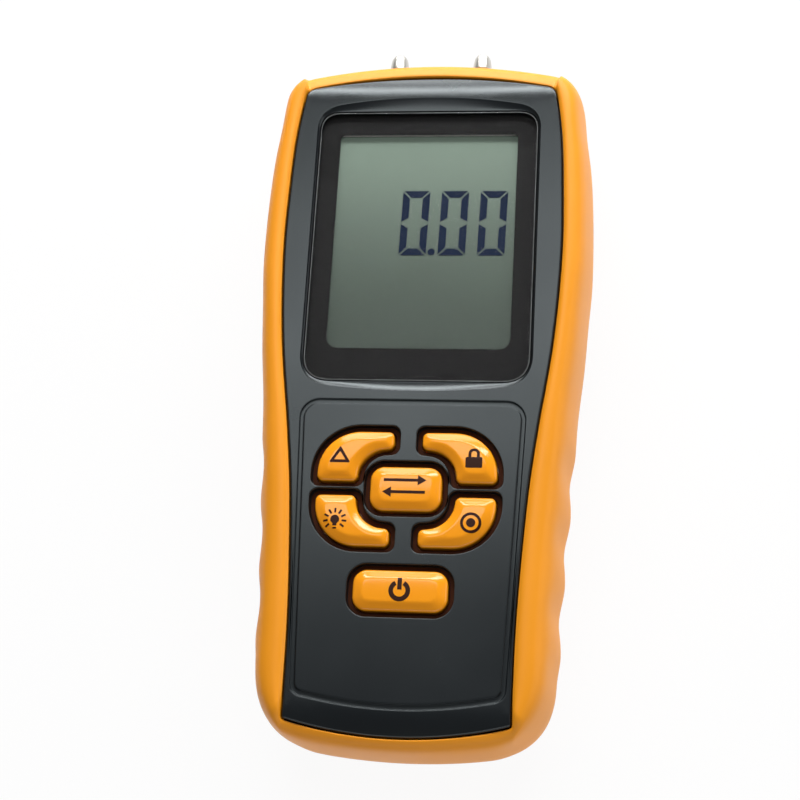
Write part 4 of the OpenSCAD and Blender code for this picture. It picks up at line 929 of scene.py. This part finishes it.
def new_material(name):
    """A material with its node tree and its Principled shader."""
    material = bpy.data.materials.new(name)
    material.use_nodes = True
    return material, material.node_tree, material.node_tree.nodes["Principled BSDF"]


def finish(name, base, rough=(0.4, 0.5), drift=0.08, grain=3000, patches=60, bump=0.1, depth=0.00002, **sockets):
    """Material whose colour and roughness drift over the surface and whose fine grain is a bump. Sockets set plain
    values on the shader by name, with _ for a space."""
    material, tree, shader = new_material(name)
    texture = new_node(tree, "Group", {"Grain per metre": grain, "Patches per metre": patches},
                       node_tree=grain_group())
    base = np.array(base[:3])
    shade = new_node(tree, "Group", {
        "Dark": (*(base * (1 - drift)), 1), "Light": (*np.minimum(base * (1 + drift), 1), 1), "Rough low": rough[0],
        "Rough high": rough[1], "Patches": texture.outputs["Patches"]}, node_tree=drift_group())
    set_inputs(tree, shader, {"Base Color": shade.outputs["Colour"], "Roughness": shade.outputs["Roughness"]})
    set_inputs(tree, shader, {socket.replace("_", " "): value for socket, value in sockets.items()})
    if bump:
        relief = new_node(tree, "Bump", {"Strength": bump, "Distance": depth, "Height": texture.outputs["Height"]})
        set_inputs(tree, shader, {"Normal": relief.outputs["Normal"]})
    return material


def clear_finish(name, ior):
    """Clear plastic: glass for what the camera and mirrors see, and see-through for the light that falls through."""
    material, tree, shader = new_material(name)
    set_inputs(tree, shader, {"Base Color": (1, 1, 1, 1), "Roughness": 0, "IOR": ior, "Transmission Weight": 1})
    path = new_node(tree, "LightPath").outputs
    either = new_node(tree, "Math", {0: path["Is Shadow Ray"], 1: path["Is Diffuse Ray"]}, operation="MAXIMUM")
    clear = new_node(tree, "BsdfTransparent", {"Color": (0.93, 0.93, 0.93, 1)})
    mix = new_node(tree, "MixShader", {"Fac": either.outputs[0], 1: shader.outputs["BSDF"], 2: clear.outputs["BSDF"]})
    set_inputs(tree, tree.nodes["Material Output"], {"Surface": mix.outputs["Shader"]})
    return material


def tinted(material, factor, tint, blend="MIX"):
    """Puts a colour over a finish's own colour, mixed by a factor or multiplied."""
    tree = material.node_tree
    base = tree.nodes["Principled BSDF"].inputs["Base Color"]
    mix = new_node(tree, "Mix", {"Factor": factor, 6: base.links[0].from_socket, 7: tint}, data_type="RGBA",
                   blend_type=blend)
    tree.links.new(mix.outputs[2], base)
    return material


def display_painted_light_finish(name, base):
    """Reflector of a liquid crystal display, with painted light: its colour is made a quarter as bright at its foot
    as at its top, by the square of the way up, with faint clouds and a satin polariser."""
    material = finish(name, base, rough=(0.45, 0.55), drift=0.05, grain=1500, patches=45, bump=0.02,
                      Specular_IOR_Level=0.18)
    tree = material.node_tree
    # Painted light: the reflector's colour is darkened towards its foot and brightest at its top
    foot_y, top_y = 0.010, 0.062
    place = new_node(tree, "SeparateXYZ", {"Vector": new_node(tree, "TexCoord").outputs["Object"]})
    up = new_node(tree, "MapRange", {"From Min": foot_y, "From Max": top_y, "Value": place.outputs["Y"]})
    square = new_node(tree, "Math", {0: up.outputs["Result"], 1: 2}, operation="POWER")
    level = new_node(tree, "Math", {0: square.outputs[0], 1: 0.75, 2: 0.25}, operation="MULTIPLY_ADD")
    return tinted(material, 1, level.outputs[0], "MULTIPLY")


def board_finish(name, base, copper):
    """Solder mask over copper: paler tracks along the joints of a brick pattern."""
    material = finish(name, base, rough=(0.3, 0.4), drift=0.06, bump=0)
    tree = material.node_tree
    bricks = new_node(tree, "TexBrick", {
        "Vector": new_node(tree, "TexCoord").outputs["Object"], "Scale": 260, "Mortar Size": 0.06,
        "Color1": (0, 0, 0, 1), "Color2": (0, 0, 0, 1), "Mortar": (1, 1, 1, 1)})
    return tinted(material, bricks.outputs["Color"], (*copper, 1))


NODE_FINISHES = {
    "shell": (("rear_cover", "battery_door"), (40, 42, 45), dict(rough=(0.42, 0.5), bump=0.25, depth=0.00004)),
    "white plastic": (("lcd_frame", "backlight_panel"), (226, 226, 220), dict(rough=(0.4, 0.5))),
    "strip rubber": (("contact_strips",), (205, 160, 160), dict(rough=(0.6, 0.7))),
    "chip epoxy": (("board_chips",), (28, 28, 30), dict(rough=(0.5, 0.6), bump=0.3)),
    "aluminium can": (("board_capacitors",), (200, 202, 205), dict(rough=(0.25, 0.35), Metallic=1)),
    "screw steel": (("board_screws", "case_screws", "door_screw"), (150, 150, 152),
                    dict(rough=(0.25, 0.4), Metallic=1)),
    "contact gold": (("key_contacts",), (230, 180, 90), dict(rough=(0.2, 0.3), Metallic=1)),
    "mat rubber": (("keypad_mat",), (180, 96, 16), dict(rough=(0.5, 0.6))),
    "pill carbon": (tuple(f"{k}_pill" for k in KEYS), (22, 22, 22), dict(rough=(0.6, 0.7))),
    "sensor plastic": (("pressure_sensor",), (216, 214, 206), dict(rough=(0.35, 0.45))),
    "seal rubber": (("port_seals",), (20, 20, 20), dict(rough=(0.5, 0.6))),
    "port nickel": (("port_nuts",), (214, 212, 205), dict(rough=(0.15, 0.22), Metallic=1)),
    "tube silicone": (("tube_left", "tube_right"), (228, 226, 214), dict(rough=(0.3, 0.4), Subsurface_Weight=0.3)),
    "battery can": (("battery",), (150, 118, 52), dict(rough=(0.25, 0.35), Metallic=0.7)),
    "terminal tin": (("battery_terminals",), (190, 190, 188), dict(rough=(0.25, 0.35), Metallic=1)),
    "snap plastic": (("battery_snap",), (24, 24, 26), dict(rough=(0.4, 0.5))),
    "red lead": (("battery_lead_red",), (176, 24, 20), dict(rough=(0.35, 0.45))),
    "black lead": (("battery_lead_black",), (20, 20, 20), dict(rough=(0.35, 0.45))),
    "foam": (("battery_pad",), (58, 58, 60), dict(rough=(0.85, 0.95), grain=2500, bump=0.8, depth=0.0002)),
    "insert brass": (("door_insert",), (196, 158, 84), dict(rough=(0.25, 0.35), Metallic=1)),
}


def dress(node, material):
    """Gives a CAD node its finish."""
    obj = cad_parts[node]
    obj.data.materials.clear()
    obj.data.materials.append(material)
    obj.data.polygons.foreach_set("material_index", np.zeros(len(obj.data.polygons), np.int32))


class MANOMETER_OT_boot(bpy.types.Operator):
    """Builds the soft boot with its rails, strips and finger grips"""
    bl_idname = "manometer.boot"
    bl_label = "Boot"

    def execute(self, context):
        b, p, c = sized(context, "body", "ports", "colours")
        material = finish("boot rubber", c.boot, rough=(0.4, 0.5), drift=0.03, grain=2600, patches=35, bump=0.12,
                          depth=0.00003, Specular_IOR_Level=0.36)
        boot = add_piece("boot_wrap", [boot_surface(b)], material, "case", ("rubber_boot",))
        cutter = bpy.data.objects.new("cutter", joined_mesh("cutter", [port_opening(b, p)]))
        context.scene.collection.objects.link(cutter)
        cut = boot.modifiers.new("Port opening", "BOOLEAN")
        cut.object, cut.operation, cut.solver = cutter, "DIFFERENCE", "EXACT"
        context.view_layer.update()
        done = bpy.data.meshes.new_from_object(boot.evaluated_get(context.evaluated_depsgraph_get()))
        boot.modifiers.clear()
        boot.data = done
        bpy.data.objects.remove(cutter)
        return {"FINISHED"}


class MANOMETER_OT_panel_face(bpy.types.Operator):
    """Builds the dark front panel with its groove, its recesses and the dished band round the window"""
    bl_idname = "manometer.panel_face"
    bl_label = "Front panel"

    def execute(self, context):
        b, d, k, c = sized(context, "body", "display", "keypad", "colours")
        material = finish("panel plastic", c.panel, rough=(0.23, 0.28), drift=0.06, grain=2200, patches=40, bump=0.1,
                          depth=0.00003, Specular_IOR_Level=0.5, Specular_Tint=(0.88, 0.98, 1, 1))
        add_piece("panel_face", panel_surface(b, d, k), material, "case", ("front_cover",), sharp=40)
        return {"FINISHED"}


class MANOMETER_OT_display(bpy.types.Operator):
    """Builds the window and finishes the display under it"""
    bl_idname = "manometer.display"
    bl_label = "Display"

    def execute(self, context):
        b, d, c = sized(context, "body", "display", "colours")
        foot = panel_height(b) - d.window_sink - d.window_thickness

        def trim(name, grow, inner, low, high, material, stands_for=()):
            """Flat trim from the window's grown outline in to another, between two heights over the window's foot."""
            return add_piece(name, plate([window_ring(d, grow), inner], foot + low, foot + high, spacing=6), material,
                             "case", stands_for)

        add_piece("window_pane", window_surface(b, d), clear_finish("clear window", ior=1.05), "case",
                  ("display_window",))
        border = finish("bezel print", c.bezel, rough=(0.5, 0.6), drift=0.04, bump=0, Specular_IOR_Level=0.05)
        bezel = trim("bezel_print", BEZEL_GROW, view_ring(d), -BEZEL_THICKNESS, 0, border,
                     ("window_mask",))
        bezel.visible_shadow = False
        # A near-black ring that fills the seam round the window: painted shade for the dark gap
        rubber = finish("seam shade black", linear(6, 6, 6), rough=(0.7, 0.8), bump=0, Specular_IOR_Level=0.05)
        trim("window_seam_shade", SEAM_SHADE_GROW, window_ring(d, SEAM_SHADE_INNER_GROW), 0, d.window_thickness - SEAM_SHADE_SINK,
             rubber)
        # A pale, patchy ring just inside the pane's edge: a painted glint of its polished edge
        edge_glint = finish("edge glint paint", linear(84, 88, 88), rough=(0.3, 0.4), drift=0.5, patches=300, bump=0)
        trim("window_edge_glint", EDGE_GROW, window_ring(d, EDGE_INNER_GROW), EDGE_LOW, EDGE_HIGH, edge_glint)
        dress("lcd_glass", display_painted_light_finish("display reflector painted light", c.glass))
        dress("lcd_digits", finish("display segments", c.digits, rough=(0.45, 0.55), drift=0.04, bump=0,
                                   Specular_IOR_Level=0.05))
        return {"FINISHED"}


class MANOMETER_OT_keypad(bpy.types.Operator):
    """Builds the six keys and their printed signs"""
    bl_idname = "manometer.keypad"
    bl_label = "Keys"

    def execute(self, context):
        b, k, c = sized(context, "body", "keypad", "colours")
        material = finish("key silicone", c.keys, rough=(0.12, 0.15), drift=0.02, grain=1800, patches=50, bump=0.03,
                          Specular_IOR_Level=0.38)
        ink = finish("key print", c.print, drift=0.05, bump=0, Specular_IOR_Level=0.15)
        # The web round the keys: the mat's orange silicone, painted dark brown as painted shade down in the wells
        shaded_web = finish("key web", linear(72, 36, 18), rough=(0.6, 0.7), bump=0, Specular_IOR_Level=0.1)
        floor, sink, rise, reach = panel_height(b) - k.dish_depth, 0.03, 0.06, 0.84 * k.dish
        add_piece("key_web_shade", [part for key in KEYS for part in plate(
            [key_ring(k, key, reach), key_ring(k, key, k.key_gap)], floor - sink, floor + rise, spacing=3)],
            shaded_web, "case")
        for key in KEYS:
            add_piece(f"key_{key}", key_surface(b, k, key), material, f"{key}_key", (f"{key}_key",))
            add_piece(f"sign_{key}", sign_surface(b, k, key), ink, f"{key}_key")
        return {"FINISHED"}


class MANOMETER_OT_ports(bpy.types.Operator):
    """Builds the two turned hose ports"""
    bl_idname = "manometer.ports"
    bl_label = "Hose ports"

    def execute(self, context):
        b, p, c = sized(context, "body", "ports", "colours")
        material = finish("polished nickel", c.nickel, rough=(0.34, 0.4), drift=0.03, bump=0, Metallic=1)
        for name, side in (("left", -1), ("right", 1)):
            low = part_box(f"port_{name}")[0].y / MM
            add_piece(f"hose_port_{name}", [port_surface(b, p, side, low)], material, "case",
                      (f"port_{name}",), sharp=50)
        return {"FINISHED"}


class MANOMETER_OT_insides(bpy.types.Operator):
    """Gives every other CAD solid its finish"""
    bl_idname = "manometer.insides"
    bl_label = "Shells and insides"

    def execute(self, context):
        for name, (nodes, rgb, values) in NODE_FINISHES.items():
            material = finish(name, linear(*rgb), **values)
            for node in nodes:
                dress(node, material)
        dress("main_board", board_finish("board laminate", linear(14, 74, 44), linear(36, 110, 66)))
        return {"FINISHED"}


# Lamps: name, place and size in metres, and share of the lamp power. All face the origin
LAMPS = (
    ("far lamp", (0.04, 0.46, 0.36), (0.6, 0.09), 0.8),
    ("near lamp", (0.1, -0.6, 0.3), (0.9, 0.2), 0.28),
    ("rim lamp", (0.0, 0.62, 0.18), (0.7, 0.2), 0.7),
    ("high lamp", (-0.06, 0.325, 0.85), (0.52, 0.24), 0.38),
    ("side lamp", (0.75, 0.1, 0.35), (0.5, 0.5), 0.36),
)
FLOOR_GLOW = 0.93
CAMERA_PLACE = (0.049645, -0.120646, 0.395269)
# The camera's right, up and backward directions
CAMERA_AXES = ((0.990478, 0.056364, -0.125602), (-0.014725, 0.950486, 0.310421), (0.136888, -0.305618, 0.942258))


class MANOMETER_OT_stage(bpy.types.Operator):
    """Makes the floor, the lamps, the world and the camera"""
    bl_idname = "manometer.stage"
    bl_label = "Stage"

    def execute(self, context):
        scene, (s,) = context.scene, sized(context, "stage")
        half = s.floor_size * MM / 2
        mesh = bpy.data.meshes.new("floor")
        mesh.from_pydata([(-half, -half, 0), (half, -half, 0), (half, half, 0), (-half, half, 0)], [], [(0, 1, 2, 3)])
        floor = bpy.data.objects.new("floor", mesh)
        scene.collection.objects.link(floor)
        material = finish("pale floor", (0.86, 0.86, 0.86), rough=(0.7, 0.8), drift=0.01, bump=0)
        tree = material.node_tree
        path = new_node(tree, "LightPath").outputs
        seen = new_node(tree, "Math", {0: path["Is Camera Ray"], 1: path["Is Glossy Ray"]}, operation="MAXIMUM")
        seen = new_node(tree, "Math", {0: seen.outputs[0], 1: path["Is Transmission Ray"]}, operation="MAXIMUM")
        seen = new_node(tree, "Math", {0: seen.outputs[0], 1: FLOOR_GLOW}, operation="MULTIPLY")
        mix = new_node(tree, "MixShader", {
            "Fac": seen.outputs[0], 1: tree.nodes["Principled BSDF"].outputs["BSDF"],
            2: new_node(tree, "Emission").outputs["Emission"]})
        set_inputs(tree, tree.nodes["Material Output"], {"Surface": mix.outputs["Shader"]})
        mesh.materials.append(material)

        world = bpy.data.worlds.new("studio")
        scene.world = world
        world.use_nodes = True
        tree = world.node_tree
        strength = new_node(tree, "MapRange", {
            "Value": new_node(tree, "LightPath").outputs["Is Camera Ray"], "To Min": s.world_strength, "To Max": 1})
        set_inputs(tree, tree.nodes["Background"], {"Color": (1, 1, 1, 1), "Strength": strength.outputs["Result"]})

        for name, place, size, power in LAMPS:
            lamp = bpy.data.lights.new(name, "AREA")
            lamp.shape, lamp.size, lamp.size_y, lamp.energy = "RECTANGLE", *size, s.lamp_power * power
            holder = bpy.data.objects.new(name, lamp)
            holder.location = place
            holder.rotation_mode = "QUATERNION"
            holder.rotation_quaternion = (-Vector(place)).to_track_quat("-Z", "Y")
            scene.collection.objects.link(holder)

        camera = bpy.data.cameras.new("camera")
        camera.lens, camera.sensor_width, camera.clip_start, camera.clip_end = s.lens, 36, 0.01, 20
        holder = bpy.data.objects.new("camera", camera)
        scene.collection.objects.link(holder)
        holder.matrix_world = Matrix.Translation(CAMERA_PLACE) @ Matrix(CAMERA_AXES).transposed().to_4x4()
        scene.camera = holder
        scene.view_settings.view_transform = "Standard"
        return {"FINISHED"}


class MANOMETER_PT_panel(bpy.types.Panel):
    bl_label = "Manometer"
    bl_idname = "MANOMETER_PT_panel"
    bl_space_type = "VIEW_3D"
    bl_region_type = "UI"
    bl_category = "Manometer"

    def draw(self, context):
        for name, operators in SECTIONS:
            box = self.layout.box()
            group = getattr(context.scene, f"manometer_{name}")
            for prop in type(group).__annotations__:
                box.prop(group, prop)
            for operator in operators:
                box.operator(operator)


GROUPS = {
    "body": ManometerBody, "display": ManometerDisplay, "keypad": ManometerKeypad, "ports": ManometerPorts,
    "colours": ManometerColours, "stage": ManometerStage,
}
SECTIONS = (
    ("stage", ("manometer.stage",)), ("body", ("manometer.boot", "manometer.panel_face")),
    ("display", ("manometer.display",)), ("keypad", ("manometer.keypad",)), ("ports", ("manometer.ports",)),
    ("colours", ("manometer.insides",)),
)
CLASSES = (
    *GROUPS.values(), MANOMETER_OT_boot, MANOMETER_OT_panel_face, MANOMETER_OT_display, MANOMETER_OT_keypad,
    MANOMETER_OT_ports, MANOMETER_OT_insides, MANOMETER_OT_stage, MANOMETER_PT_panel,
)


def register():
    for cls in CLASSES:
        bpy.utils.register_class(cls)
    for name, group in GROUPS.items():
        setattr(bpy.types.Scene, f"manometer_{name}", PointerProperty(type=group))


def unregister():
    for name in GROUPS:
        delattr(bpy.types.Scene, f"manometer_{name}")
    for cls in reversed(CLASSES):
        bpy.utils.unregister_class(cls)


def main():
    register()
    for _, operators in SECTIONS:
        for operator in operators:
            area, name = operator.split(".")
            getattr(getattr(bpy.ops, area), name)()


if __name__ == "__main__":
    main()
